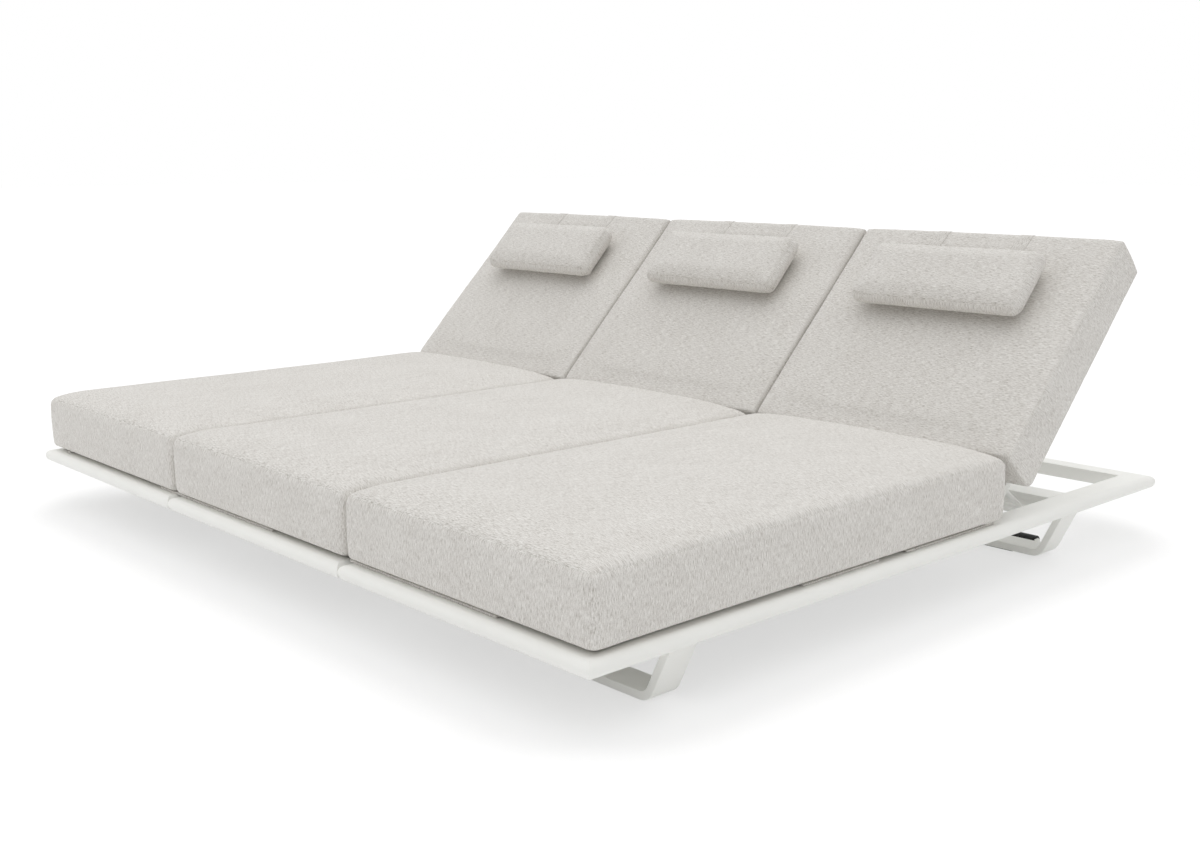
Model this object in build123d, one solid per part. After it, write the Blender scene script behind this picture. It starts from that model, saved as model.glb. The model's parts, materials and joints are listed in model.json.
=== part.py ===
from build123d import *
import os
from math import asin, cos, degrees, floor, radians, sin, tan

# A sun lounger for three: three equal aluminium beds bolted side by side, each with a seat cushion,
# a tilting back on a ratchet stay, a loose back cushion and a strapped head pillow.
# X runs across, Y from the foot end to the head end, Z up. The origin is on the floor under the middle.
# All lengths are in millimetres and all angles in degrees.

# The whole object
bed_names = ("left", "middle", "right")
bed_width = 799
bed_gap = 1
length = 2080
rail_mid_height = 143

# Heads of screws and bolts
hexagon_sides = 6

# What lies against what
running_clearance = 0.05
seat_clearance = 0.3
overrun = 10

# Rail extrusion, round on its outer edge and mitred at the corners
rail_height = 36
rail_width = 70
rail_wall = 2.5

# Cross members, one over each foot, with a shadow groove along both sides
cross_width = 78
cross_groove = 1
front_cross_from_foot = 272

# Sled feet bent from flat bar, each closed at the top by a tie bar
foot_width = 75
foot_bar = 18
foot_lead = 11
foot_bend_radius = 40
foot_top_inset = 22.61
foot_lean = 25
tie_bar = 15
tie_gap = 4

# Glides under the feet
glide_thickness = 3
glide_width = 62
glide_length = 120
glide_places_share = (-0.82, 0.0, 0.82)

# Transport rollers behind each rear foot
roller_radius = 14
roller_sides = 24
roller_length = 80
roller_lift = 2
roller_from_foot_end = 62
roller_gap = 3
axle_radius = 3
cheek_thickness = 3
cheek_gap = 1
cheek_height = 16

# Slatted seat deck, level with the rails
slat_width = 62
slat_thickness = 10
slat_gap_min = 30
ledge_width = 14
ledge_height = 16
deck_stop = 30

# Back frame, hinged on the side rails
rest_angle = 46.5
hinge_from_head = 668
hinge_rise = 8
tube_width = 22
tube_thickness = 20
tube_end_chamfer = 5
back_frame_reach = 640
back_bar_width = 24
back_slat_width = 58
back_slat_thickness = 8
back_slat_count = 6
first_slat_gap = 7
washer_gap = 2

# Hinge lugs and pins
lug_thickness = 8
lug_radius = 11.5
lug_chamfer = 6
lug_foot_width = 46
lug_depth = 26
pin_radius = 4
pin_head_radius = 7
pin_head_height = 3
screw_head_radius = 4.5
screw_head_height = 2.5
screw_spread = 14

# Prop stay: two arms and a cross bar that drops into the racks
stay_reach = 75
stay_length = 147
stay_bar_radius = 7
stay_bar_sides = 12
stay_eye_radius = 10
stay_eye_gap = 3
stay_travel_gap = 6.5
stay_side_gap = 3
stay_end_gap = 1
stay_foot_drop = 24

# Racks on the inner faces of the side rails
rack_flange = 3
rack_ledge = 10
rack_clearance = 3.5
rack_tooth_pitch = 15
rack_tooth_count = 6
rack_notch_half = 6
rack_notch_floor = 4
rack_notch_depth = 6
rack_depth = 12
rack_flange_rise = 24

# Seat cushion
cushion_outer_inset = 8
cushion_gap = 3
seat_foot_inset = 15
seat_end_from_hinge = 77
seat_side_height = 150
seat_crown = 32
cushion_corner = 26
cushion_edge_roll = 14
side_draw_share = 0.008
end_draw_share = 0.005
corner_steps = 3
quarter_turn = 90

# Back cushion, lying loose on the back frame
back_cushion_length = 686
back_cushion_start = 58
back_side_height = 129.7
back_crown = 12
back_tail_round = 46

# How far the back cushion is pushed down its frame when the back lies flat
cushion_travel = 131

# Head pillow and its tapes
pillow_width = 516
pillow_length = 196
pillow_side_height = 70
pillow_crown = 15
pillow_corner = 34
pillow_edge_roll = 12
pillow_from_top = 112
tape_width = 40
tape_thickness = 1.5
tape_spread = 127
tape_overlap = 6
tape_end_drop = 90

# Link plates that bolt neighbouring beds together
link_width = 90
link_length = 70
link_thickness = 4
link_bolt_spread = 24
link_head_radius = 6.5
link_head_height = 4
link_places_share = (0.2, 0.62, 0.96)

# Cushion sections as (share of the side height, share of the edge roll), from the underside up
side_shares = ((0, 1), (0.06, 0.45), (0.2, 0.1), (0.6, 0), (0.9, 0.14), (1, 0.62))
# Crown sections as (share of the crown, share of the half width)
crown_shares = ((0.42, 0.14), (0.78, 0.38), (1, 0.72))
# How the lower rear edge of a back cushion rounds off, one share for each side section
tail_shares = (1, 0.66, 0.28, 0, 0, 0)

# Heights and places that follow from these
bed_pitch = bed_width + bed_gap
foot_bottom = glide_thickness
rail_radius = rail_height / 2
rail_bottom = rail_mid_height - rail_radius
rail_top = rail_mid_height + rail_radius
foot_edge = -length / 2
head_edge = length / 2
inner_face = bed_width / 2 - rail_width
hinge_y = head_edge - hinge_from_head
hinge_z = rail_top + hinge_rise
tube_top = tube_thickness - hinge_rise
tube_bottom = seat_clearance - hinge_rise
tube_outer = inner_face - lug_thickness - washer_gap
tube_inner = tube_outer - tube_width
stay_x = tube_inner - stay_side_gap - stay_bar_radius
stay_foot_z = rail_top - stay_foot_drop
stay_pivot_y = hinge_y + stay_reach * cos(radians(rest_angle))
stay_pivot_z = hinge_z + stay_reach * sin(radians(rest_angle))
stay_slope = degrees(asin((stay_pivot_z - stay_foot_z) / stay_length))
stay_flat_slope = degrees(asin((hinge_z - stay_foot_z) / stay_length))
stay_flat_end = hinge_y + stay_reach + stay_length * cos(radians(stay_flat_slope)) + stay_bar_radius
first_bar_start = stay_reach - stay_eye_radius - stay_eye_gap - back_bar_width
first_slat_start = stay_reach + stay_eye_radius + first_slat_gap
front_cross_y = foot_edge + front_cross_from_foot
rear_cross_y = stay_flat_end + stay_travel_gap + cross_width / 2
front_foot_centre = front_cross_y - foot_lead
rear_foot_centre = rear_cross_y - foot_lead
rear_foot_back = rear_foot_centre + foot_width / 2
cushion_base = tube_top + seat_clearance
cushion_seam = cushion_base + back_side_height


def along_y(sketch, start, end):
    """Extrudes a sketch drawn in X and Z from one Y to another."""
    plane = Plane(origin=(0, start, 0), x_dir=(1, 0, 0), z_dir=(0, -1, 0))
    return extrude(plane * sketch, amount=start - end)


def along_x(sketch, start, end):
    """Extrudes a sketch drawn in Y and Z from one X to another."""
    plane = Plane(origin=(start, 0, 0), x_dir=(0, 1, 0), z_dir=(1, 0, 0))
    return extrude(plane * sketch, amount=end - start)


def outline(points):
    """A flat face inside a closed run of straight lines."""
    return make_face(Polyline(*points, close=True))


def rectangle(low_a, low_b, high_a, high_b):
    """A rectangle between two corners."""
    size = (high_a - low_a, high_b - low_b)
    return Pos(low_a, low_b) * Rectangle(*size, align=(Align.MIN, Align.MIN))


def slab(low, high):
    """A block between two corners."""
    size = tuple(top - bottom for bottom, top in zip(low, high))
    return Pos(*low) * Box(*size, align=(Align.MIN, Align.MIN, Align.MIN))


def rod(radius, start, end, y=0, z=0):
    """A round rod along X."""
    return along_x(Pos(y, z) * Circle(radius), start, end)


def hexagon_head(radius, start, height, y=0, z=0):
    """A hexagonal head along X that stands on the plane at start; a height below zero runs towards -X."""
    return along_x(Pos(y, z) * RegularPolygon(radius, hexagon_sides), start, start + height)


def tilted(solid):
    """Takes a solid from the back frame's own axes to its place at rest."""
    return Pos(0, hinge_y, hinge_z) * Rot(rest_angle, 0, 0) * solid


def bed_centre(bed):
    """The X of a bed's middle line."""
    return (bed_names.index(bed) - (len(bed_names) - 1) / 2) * bed_pitch


def in_bed(bed, solid):
    """Moves a solid drawn about the middle line to its bed."""
    return Pos(bed_centre(bed), 0, 0) * solid


def group(solids):
    """Joins separate solids into one node without fusing them."""
    return Compound(children=[Solid(piece.wrapped) for solid in solids for piece in solid.solids()])


# Frame

def hollow_rail_profile():
    """The extruded rail's section from its round outer edge inwards, about its mid height."""
    body = rectangle(rail_radius, -rail_radius, rail_width, rail_radius)
    core_half = rail_radius - rail_wall
    core = rectangle(rail_radius, -core_half, rail_width - rail_wall, core_half)
    return Pos(rail_radius, 0) * Circle(rail_radius) + body - core


def side_rail(side):
    """A side rail of a bed, mitred at both ends; side is -1 for the left and 1 for the right."""
    outer = bed_width / 2
    bar = along_y(Pos(-outer, rail_mid_height) * hollow_rail_profile(), foot_edge, head_edge)
    inner = outer - rail_width
    plan = outline([
        (-outer, foot_edge), (-inner, foot_edge + rail_width),
        (-inner, head_edge - rail_width), (-outer, head_edge),
    ])
    bar = bar & Pos(0, 0, rail_bottom) * extrude(plan, amount=rail_height)
    return bar if side < 0 else mirror(bar, about=Plane.YZ)


def end_rail(end):
    """The foot rail or the head rail of a bed; end is -1 for the foot and 1 for the head."""
    outer = bed_width / 2
    bar = along_x(Pos(foot_edge, rail_mid_height) * hollow_rail_profile(), -outer, outer)
    inner = outer - rail_width
    plan = outline([
        (-outer, foot_edge), (outer, foot_edge),
        (inner, foot_edge + rail_width), (-inner, foot_edge + rail_width),
    ])
    bar = bar & Pos(0, 0, rail_bottom) * extrude(plan, amount=rail_height)
    return bar if end < 0 else mirror(bar, about=Plane.XZ)


def cross_member(centre):
    """A hollow cross member between the side rails, with a shadow groove at mid height."""
    half = cross_width / 2
    skin = rectangle(centre - half, rail_bottom, centre + half, rail_top)
    core = rectangle(
        centre - half + rail_wall, rail_bottom + rail_wall, centre + half - rail_wall, rail_top - rail_wall
    )
    groove = cross_groove / 2
    marks = [
        Pos(centre + side * half, rail_mid_height) * Rectangle(cross_groove, groove) for side in (-1, 1)
    ]
    return along_x(skin - core - marks, -inner_face, inner_face)


def leg_x(z, inset):
    """Half the width of a foot's outline at height z, less an inset square to its leg."""
    lean = radians(foot_lean)
    return bed_width / 2 - foot_top_inset - (rail_bottom - z) * tan(lean) - inset / cos(lean)


def trapezium(low, high, inset):
    """The face between a foot's two legs from one height to another."""
    return outline([
        (-leg_x(low, inset), low), (leg_x(low, inset), low),
        (leg_x(high, inset), high), (-leg_x(high, inset), high),
    ])


def rounded_base(face, radius):
    """Rounds the two lower corners of a foot's outline."""
    return fillet(face.vertices().sort_by(Axis.Y)[:2], radius)


def sled_foot(centre):
    """A closed foot: floor bar, two leaning legs and the tie bar under the rails."""
    tie_top = rail_bottom - tie_gap
    window_top = tie_top - tie_bar
    skin = rounded_base(trapezium(foot_bottom, rail_bottom, 0), foot_bend_radius)
    window = rounded_base(
        trapezium(foot_bottom + foot_bar, window_top, foot_bar), foot_bend_radius - foot_bar
    )
    slit = trapezium(tie_top, rail_bottom, foot_bar)
    return along_y(skin - window - slit, centre - foot_width / 2, centre + foot_width / 2)


def glides():
    """The plastic glides under every foot."""
    pads = []
    flat_half = leg_x(foot_bottom, foot_bend_radius)
    for bed in bed_names:
        for centre in (front_foot_centre, rear_foot_centre):
            for share in glide_places_share:
                middle = bed_centre(bed) + share * (flat_half - glide_length / 2)
                low = (middle - glide_length / 2, centre - glide_width / 2, 0)
                high = (middle + glide_length / 2, centre + glide_width / 2, glide_thickness)
                pads.append(slab(low, high))
    return group(pads)


# Rollers

roller_y = rear_foot_back + roller_gap + roller_radius
roller_z = roller_lift + roller_radius
roller_middle = leg_x(foot_bottom, 0) - roller_from_foot_end - roller_length / 2


def roller(bed, side):
    """A transport roller with its bore."""
    half = roller_length / 2
    ring = RegularPolygon(roller_radius, roller_sides) - Circle(axle_radius + running_clearance)
    wheel = along_x(ring, -half, half)
    return Pos(bed_centre(bed) + side * roller_middle, roller_y, roller_z) * wheel


def roller_brackets():
    """Cheeks welded behind the rear feet, with the axles that the rollers turn on."""
    brackets = []
    start = roller_length / 2 + cheek_gap
    end = start + cheek_thickness
    low = roller_z - cheek_height / 2
    high = roller_z + cheek_height / 2
    tip = roller_y + cheek_height / 2
    cheek = outline([
        (rear_foot_back, low), (roller_y, low), (tip, roller_z - axle_radius),
        (tip, roller_z + axle_radius), (roller_y, high), (rear_foot_back, high),
    ])
    for bed in bed_names:
        for side in (-1, 1):
            middle = bed_centre(bed) + side * roller_middle
            bracket = rod(axle_radius, -start, start, roller_y, roller_z)
            bracket = bracket + along_x(cheek, start, end) + along_x(cheek, -end, -start)
            brackets.append(Pos(middle, 0, 0) * bracket)
    return group(brackets)


# Seat deck

def slats_between(start, end):
    """Slats and their two ledges in one bay of a bed."""
    bay = end - start
    count = max(1, floor((bay - slat_gap_min) / (slat_width + slat_gap_min)))
    gap = (bay - count * slat_width) / (count + 1)
    slats = []
    high = rail_top - slat_thickness
    for number in range(count):
        near = start + gap + number * (slat_width + gap)
        slats.append(slab((-inner_face, near, high), (inner_face, near + slat_width, rail_top)))
    low = high - ledge_height
    for side in (-1, 1):
        edge = sorted((side * inner_face, side * (inner_face - ledge_width)))
        slats.append(slab((edge[0], start, low), (edge[1], end, high)))
    return slats[0].fuse(*slats[1:])


def seat_deck():
    """The slatted deck of one bed, before and behind the front cross member."""
    front = front_cross_y - cross_width / 2
    back = front_cross_y + cross_width / 2
    return group([
        slats_between(foot_edge + rail_width, front),
        slats_between(back, hinge_y - deck_stop),
    ])


# Back frame and stay

def back_frame():
    """The back frame in its own axes: Y up the back from the hinge, Z out of its front face."""
    end = back_frame_reach
    tube = rectangle(-hinge_rise, tube_bottom, end, tube_top)
    tube = chamfer(tube.vertices().group_by(Axis.X)[0], tube_end_chamfer)
    tube = tube - Circle(pin_radius + running_clearance)
    pieces = [along_x(tube, side * tube_inner, side * tube_outer) for side in (-1, 1)]
    for start in (first_bar_start, end - back_bar_width):
        bar = rectangle(start, tube_bottom, start + back_bar_width, tube_top)
        pieces.append(along_x(bar, -tube_inner, tube_inner))
    span = end - back_bar_width - first_slat_start
    step = span / back_slat_count
    for number in range(back_slat_count):
        near = first_slat_start + number * step
        low, high = tube_top - back_slat_thickness, tube_top
        pieces.append(slab((-tube_inner, near, low), (tube_inner, near + back_slat_width, high)))
    head_start = stay_x - stay_bar_radius - seat_clearance
    for side in (-1, 1):
        pieces.append(rod(pin_radius, side * head_start, side * tube_inner, stay_reach))
        pieces.append(hexagon_head(pin_head_radius, side * head_start, -side * pin_head_height, stay_reach))
    return tilted(pieces[0].fuse(*pieces[1:]))


def prop_stay():
    """The stay at rest: eyes on the back frame's pins, round arms and the cross bar."""
    bar_end = inner_face - rack_flange - stay_end_gap
    section = RegularPolygon(stay_bar_radius, stay_bar_sides, major_radius=False)
    pieces = [along_x(Pos(stay_length, 0) * section, -bar_end, bar_end)]
    eye = RegularPolygon(stay_eye_radius, stay_bar_sides)
    for side in (-1, 1):
        pieces.append(along_y(Pos(side * stay_x, 0) * section, 0, stay_length))
        pieces.append(along_x(eye, side * stay_x - stay_bar_radius, side * stay_x + stay_bar_radius))
    stay = pieces[0].fuse(*pieces[1:])
    for side in (-1, 1):
        reach = stay_bar_radius + seat_clearance
        stay = stay - rod(pin_radius + running_clearance, side * stay_x - reach, side * stay_x + reach)
    return Pos(0, stay_pivot_y, stay_pivot_z) * Rot(-stay_slope, 0, 0) * stay


def hinge_lugs():
    """Lugs on the inner faces of the side rails, each bored for its hinge pin."""
    low = hinge_z - hinge_rise - lug_depth
    foot, neck, flat = lug_foot_width / 2, lug_radius, lug_radius - lug_chamfer
    shoulder = low + lug_depth / 2
    lug = outline([
        (hinge_y - foot, low), (hinge_y + foot, low), (hinge_y + foot, shoulder), (hinge_y + neck, shoulder),
        (hinge_y + neck, hinge_z + flat), (hinge_y + flat, hinge_z + neck),
        (hinge_y - flat, hinge_z + neck), (hinge_y - neck, hinge_z + flat),
        (hinge_y - neck, shoulder), (hinge_y - foot, shoulder),
    ])
    lug = lug - Pos(hinge_y, hinge_z) * Circle(pin_radius)
    lugs = []
    for bed in bed_names:
        for side in (-1, 1):
            near = side * (inner_face - lug_thickness)
            lugs.append(in_bed(bed, along_x(lug, near, side * inner_face)))
    return group(lugs)


def hinge_pins():
    """The pins that the back frames turn on, headed on their inner ends."""
    pins = []
    for bed in bed_names:
        for side in (-1, 1):
            head = side * (tube_inner - seat_clearance)
            pin = rod(pin_radius, head, side * inner_face, hinge_y, hinge_z)
            cap = hexagon_head(pin_head_radius, head, -side * pin_head_height, hinge_y, hinge_z)
            pins.append(in_bed(bed, pin + cap))
    return group(pins)


def lug_screws():
    """The screws that hold the hinge lugs to the rails."""
    screws = []
    z = hinge_z - hinge_rise - lug_depth + lug_depth / 4
    for bed in bed_names:
        for side in (-1, 1):
            for place in (-1, 1):
                y = hinge_y + place * screw_spread
                near = side * (inner_face - lug_thickness)
                head = hexagon_head(screw_head_radius, near, -side * screw_head_height, y, z)
                screws.append(in_bed(bed, head))
    return group(screws)


def stay_racks():
    """Toothed racks under the path of each stay's cross bar."""
    racks = []
    tip = stay_foot_z - stay_bar_radius - rack_clearance
    end = rear_foot_centre - foot_width / 2 - seat_clearance
    start = end - rack_tooth_pitch * (rack_tooth_count + 1)
    toothed = rectangle(start, tip - rack_depth, end, tip)
    for number in range(rack_tooth_count):
        y = start + (number + 1) * rack_tooth_pitch
        notch = outline([
            (y - rack_notch_half, tip), (y - rack_notch_floor, tip - rack_notch_depth),
            (y + rack_notch_floor, tip - rack_notch_depth), (y + rack_notch_half, tip),
        ])
        toothed = toothed - notch
    flange = rectangle(start, tip - rack_depth, end, tip + rack_flange_rise)
    for bed in bed_names:
        for side in (-1, 1):
            wall = side * (inner_face - rack_flange)
            ledge = along_x(toothed, wall - side * rack_ledge, wall)
            racks.append(in_bed(bed, ledge + along_x(flange, wall, side * inner_face)))
    return group(racks)


# Cushions

def corner_points(x, y, across, along):
    """One rounded corner as a run of short lines; the arguments are its centre and its two reaches."""
    turns = [quarter_turn * step / corner_steps for step in range(corner_steps + 1)]
    return [(x + across * cos(radians(turn)), y + along * sin(radians(turn))) for turn in turns]


def cushion_section(low, high, corner, height):
    """One section of a cushion: rounded corners and sides drawn in by a share of their own length."""
    (x0, y0), (x1, y1) = low, high
    middle_x, middle_y = (x0 + x1) / 2, (y0 + y1) / 2
    side_draw = side_draw_share * ((y1 - y0) / 2 - corner)
    end_draw = end_draw_share * ((x1 - x0) / 2 - corner)
    points = corner_points(x1 - corner, y1 - corner, corner, corner)
    points.append((middle_x, y1 - end_draw))
    points += reversed(corner_points(x0 + corner, y1 - corner, -corner, corner))
    points.append((x0 + side_draw, middle_y))
    points += corner_points(x0 + corner, y0 + corner, -corner, -corner)
    points.append((middle_x, y0 + end_draw))
    points += reversed(corner_points(x1 - corner, y0 + corner, corner, -corner))
    points.append((x1 - side_draw, middle_y))
    return Pos(0, 0, height) * outline(points)


def cushion_levels(low, high, side_height, crown, roll):
    """The height and inset of every section, from the underside to the top of the crown."""
    half = min(high[0] - low[0], high[1] - low[1]) / 2
    levels = [(height * side_height, inset * roll) for height, inset in side_shares]
    levels += [(side_height + height * crown, inset * half) for height, inset in crown_shares]
    return levels


def cushion(low, high, side_height, crown, corner, roll, tail=0):
    """A crowned cushion between two plan corners, standing on its own underside."""
    sections = []
    levels = cushion_levels(low, high, side_height, crown, roll)
    tails = [share * tail for share in tail_shares] + [0] * len(crown_shares)
    for (height, inset), tail_inset in zip(levels, tails):
        low_corner = (low[0] + inset, low[1] + max(inset, tail_inset))
        high_corner = (high[0] - inset, high[1] - inset)
        narrowing = 1 - inset / (min(high[0] - low[0], high[1] - low[1]) / 2)
        sections.append(cushion_section(low_corner, high_corner, corner * narrowing, height))
    return loft(sections, ruled=True)


def cushion_edges(bed):
    """The X of a bed's cushion edges, nearer its neighbours than the outer rails."""
    place = bed_names.index(bed)
    half = bed_pitch / 2
    left = cushion_gap / 2 if place > 0 else cushion_outer_inset
    right = cushion_gap / 2 if place < len(bed_names) - 1 else cushion_outer_inset
    return bed_centre(bed) - half + left, bed_centre(bed) + half - right


def seat_cushion(bed):
    """The seat cushion of a bed, lying on the rails and the deck."""
    left, right = cushion_edges(bed)
    low = (left, foot_edge + seat_foot_inset)
    high = (right, hinge_y - seat_end_from_hinge)
    body = cushion(low, high, seat_side_height, seat_crown, cushion_corner, cushion_edge_roll)
    return Pos(0, 0, rail_top + seat_clearance) * body


def back_cushion(bed):
    """The back cushion of a bed, lying on its back frame."""
    left, right = cushion_edges(bed)
    low = (left, back_cushion_start)
    high = (right, back_cushion_start + back_cushion_length)
    body = cushion(
        low, high, back_side_height, back_crown, cushion_corner, cushion_edge_roll, back_tail_round
    )
    return tilted(Pos(0, 0, cushion_base) * body)


def pillow(bed):
    """The head pillow of a bed, over its tapes."""
    half = pillow_width / 2
    top = back_cushion_start + back_cushion_length - pillow_from_top
    low = (bed_centre(bed) - half, top - pillow_length)
    high = (bed_centre(bed) + half, top)
    body = cushion(low, high, pillow_side_height, pillow_crown, pillow_corner, pillow_edge_roll)
    base = cushion_seam + back_crown + tape_thickness + 2 * seat_clearance
    return tilted(Pos(0, 0, base) * body)


def tape_skin(core):
    """The thickness of a tape all round a cushion's outline."""
    outer = offset(core, amount=seat_clearance + tape_thickness, kind=Kind.INTERSECTION)
    return outer - offset(core, amount=seat_clearance, kind=Kind.INTERSECTION)


def tapes(bed):
    """Two tapes from a back cushion's top end over its upper edge and down its front."""
    top = back_cushion_start + back_cushion_length
    left, right = cushion_edges(bed)
    low, high = (left, back_cushion_start), (right, top)
    levels = cushion_levels(low, high, back_side_height, back_crown, cushion_edge_roll)
    edge = [(top - inset, cushion_base + height) for height, inset in levels if height > back_side_height / 2]
    run = [(top, cushion_seam - tape_end_drop)] + edge + [(edge[-1][0] - tape_overlap, edge[-1][1])]
    core = outline(run + [(run[-1][0], run[0][1])])
    skin = tape_skin(core)
    window = rectangle(
        run[-1][0] + seat_clearance, run[0][1], top + overrun, cushion_seam + back_crown + overrun
    )
    strip = skin & window
    pieces = []
    for side in (-1, 1):
        middle = bed_centre(bed) + side * tape_spread
        pieces.append(along_x(strip, middle - tape_width / 2, middle + tape_width / 2))
    return tilted(group(pieces))


# Links between the beds

def link_boundaries():
    """Every place where a link plate crosses from one bed to the next."""
    middles = [bed_centre(bed) + bed_pitch / 2 for bed in bed_names[:-1]]
    return [(x, foot_edge + share * length) for x in middles for share in link_places_share]


def link_bolt_places():
    """The two bolts of every link plate, one into each bed."""
    return [(x + side * link_bolt_spread, y) for x, y in link_boundaries() for side in (-1, 1)]


def link_plates():
    """Plates under the rails, each across two beds."""
    plates = []
    for x, y in link_boundaries():
        low = (x - link_width / 2, y - link_length / 2, rail_bottom - link_thickness)
        high = (x + link_width / 2, y + link_length / 2, rail_bottom)
        plates.append(slab(low, high))
    return group(plates)


def link_bolts():
    """Hexagon heads of the bolts that go up through the link plates."""
    bolts = []
    head = extrude(RegularPolygon(link_head_radius, hexagon_sides), amount=link_head_height)
    for x, y in link_bolt_places():
        bolts.append(Pos(x, y, rail_bottom - link_thickness - link_head_height) * head)
    return group(bolts)


def build_nodes():
    """Every node of the lounger by name."""
    nodes = {}
    for bed in bed_names:
        nodes[f"{bed}_side_rail_left"] = in_bed(bed, side_rail(-1))
        nodes[f"{bed}_side_rail_right"] = in_bed(bed, side_rail(1))
        nodes[f"{bed}_foot_rail"] = in_bed(bed, end_rail(-1))
        nodes[f"{bed}_head_rail"] = in_bed(bed, end_rail(1))
        nodes[f"{bed}_front_cross_member"] = in_bed(bed, cross_member(front_cross_y))
        nodes[f"{bed}_rear_cross_member"] = in_bed(bed, cross_member(rear_cross_y))
        nodes[f"{bed}_front_foot"] = in_bed(bed, sled_foot(front_foot_centre))
        nodes[f"{bed}_rear_foot"] = in_bed(bed, sled_foot(rear_foot_centre))
        nodes[f"{bed}_seat_deck"] = in_bed(bed, seat_deck())
        nodes[f"{bed}_back_frame"] = in_bed(bed, back_frame())
        nodes[f"{bed}_prop_stay"] = in_bed(bed, prop_stay())
        nodes[f"{bed}_seat_cushion"] = seat_cushion(bed)
        nodes[f"{bed}_back_cushion"] = back_cushion(bed)
        nodes[f"{bed}_pillow"] = pillow(bed)
        nodes[f"{bed}_pillow_tapes"] = tapes(bed)
        nodes[f"{bed}_roller_left"] = roller(bed, -1)
        nodes[f"{bed}_roller_right"] = roller(bed, 1)
    nodes["foot_glides"] = glides()
    nodes["roller_brackets"] = roller_brackets()
    nodes["hinge_lugs"] = hinge_lugs()
    nodes["hinge_pins"] = hinge_pins()
    nodes["lug_screws"] = lug_screws()
    nodes["stay_racks"] = stay_racks()
    nodes["link_plates"] = link_plates()
    nodes["link_bolts"] = link_bolts()
    return nodes


def main():
    """Builds and writes every node, and prints the sizes that the joints are stated with."""
    os.makedirs("parts", exist_ok=True)
    for name, solid in build_nodes().items():
        export_step(solid, os.path.join("parts", f"{name}.step"))
    ratio = (rest_angle + stay_slope - stay_flat_slope) / -rest_angle
    print("hinge", hinge_y, hinge_z)
    print("stay pivot", stay_pivot_y, stay_pivot_z, "slope", stay_slope, "ratio", ratio)
    print("cushion ratio m/rad", cushion_travel / 1000 / radians(rest_angle))
    print("roller", roller_middle, roller_y, roller_z)


main()
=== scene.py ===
"""Looks for a low sun lounger of three equal beds with box cushions, tilting backs and head pillows."""

import sys

import json
import logging
from contextlib import contextmanager
from dataclasses import dataclass, field
from enum import Enum
from math import atan2, cos, pi, radians, sin, tan
from typing import Callable, Iterator, Sequence

import bmesh
import bpy
import numpy as np
from mathutils import Euler, Matrix, Vector
from mathutils.bvhtree import BVHTree
from mathutils.kdtree import KDTree


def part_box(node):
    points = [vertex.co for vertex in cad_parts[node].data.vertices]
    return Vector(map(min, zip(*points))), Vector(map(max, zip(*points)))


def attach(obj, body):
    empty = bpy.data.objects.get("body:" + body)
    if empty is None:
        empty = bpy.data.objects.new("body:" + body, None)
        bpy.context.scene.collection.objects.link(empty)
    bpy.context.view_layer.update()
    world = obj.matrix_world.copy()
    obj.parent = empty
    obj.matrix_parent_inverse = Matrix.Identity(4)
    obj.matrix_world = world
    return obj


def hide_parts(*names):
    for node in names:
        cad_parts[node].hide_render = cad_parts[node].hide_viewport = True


MM = 0.001
BEDS = ("left", "middle", "right")
PHOTO_WIDTH = 1200

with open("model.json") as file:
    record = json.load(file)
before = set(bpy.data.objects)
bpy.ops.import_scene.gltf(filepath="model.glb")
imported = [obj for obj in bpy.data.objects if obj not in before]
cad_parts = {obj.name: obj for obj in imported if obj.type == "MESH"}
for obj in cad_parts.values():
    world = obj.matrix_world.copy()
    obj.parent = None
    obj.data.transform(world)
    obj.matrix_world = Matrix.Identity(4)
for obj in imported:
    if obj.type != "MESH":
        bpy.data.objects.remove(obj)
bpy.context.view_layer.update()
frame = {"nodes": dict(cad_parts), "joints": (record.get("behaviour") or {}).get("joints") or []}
log = logging.getLogger("lounger")


class Slot(Enum):
    """The record's material slots."""

    COAT = "frame_coat"
    CUSHION = "cushion_fabric"
    TAPE = "tape_fabric"
    GLIDE = "glide_plastic"
    ROLLER = "roller_rubber"
    PIN = "pin_steel"


class Side(Enum):
    """The two sides of a bed, as the sign of X."""

    LEFT = -1
    RIGHT = 1


# Node and mesh tools


def linear(colour: str) -> tuple[float, float, float, float]:
    """Turns an sRGB hex colour into the linear values that a socket takes.

    Args:
        colour: Six hex digits after a hash sign.

    Returns:
        Red, green, blue and an alpha of one.
    """
    shares = [int(colour[place:place + 2], 16) / 255 for place in (1, 3, 5)]
    low = [share / 12.92 if share <= 0.04045 else ((share + 0.055) / 1.055) ** 2.4 for share in shares]
    return (low[0], low[1], low[2], 1.0)


def add_node(tree: bpy.types.NodeTree, kind: str, settings: dict | None = None,
             links: dict | None = None) -> bpy.types.Node:
    """Adds a node with its settings and its incoming links.

    Args:
        tree: The tree that takes the node.
        kind: The node's type name.
        settings: Values by the name or number of an input, or by the name of a property.
        links: Output sockets by the name or number of the input that they feed.

    Returns:
        The new node.
    """
    node = tree.nodes.new(kind)
    for key, value in (settings or {}).items():
        if isinstance(key, int) or key in node.inputs:
            node.inputs[key].default_value = value
        else:
            setattr(node, key, value)
    for key, socket in (links or {}).items():
        tree.links.new(socket, node.inputs[key])
    return node


def deselect_all() -> None:
    """Deselects every object, the CAD nodes included."""
    if bpy.context.object is not None and bpy.context.object.mode != "OBJECT":
        bpy.ops.object.mode_set(mode="OBJECT")
    bpy.ops.object.select_all(action="DESELECT")


def pick(piece: bpy.types.Object) -> None:
    """Makes a piece the only selected and the active object.

    Args:
        piece: The piece.
    """
    deselect_all()
    piece.select_set(True)
    bpy.context.view_layer.objects.active = piece


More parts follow.
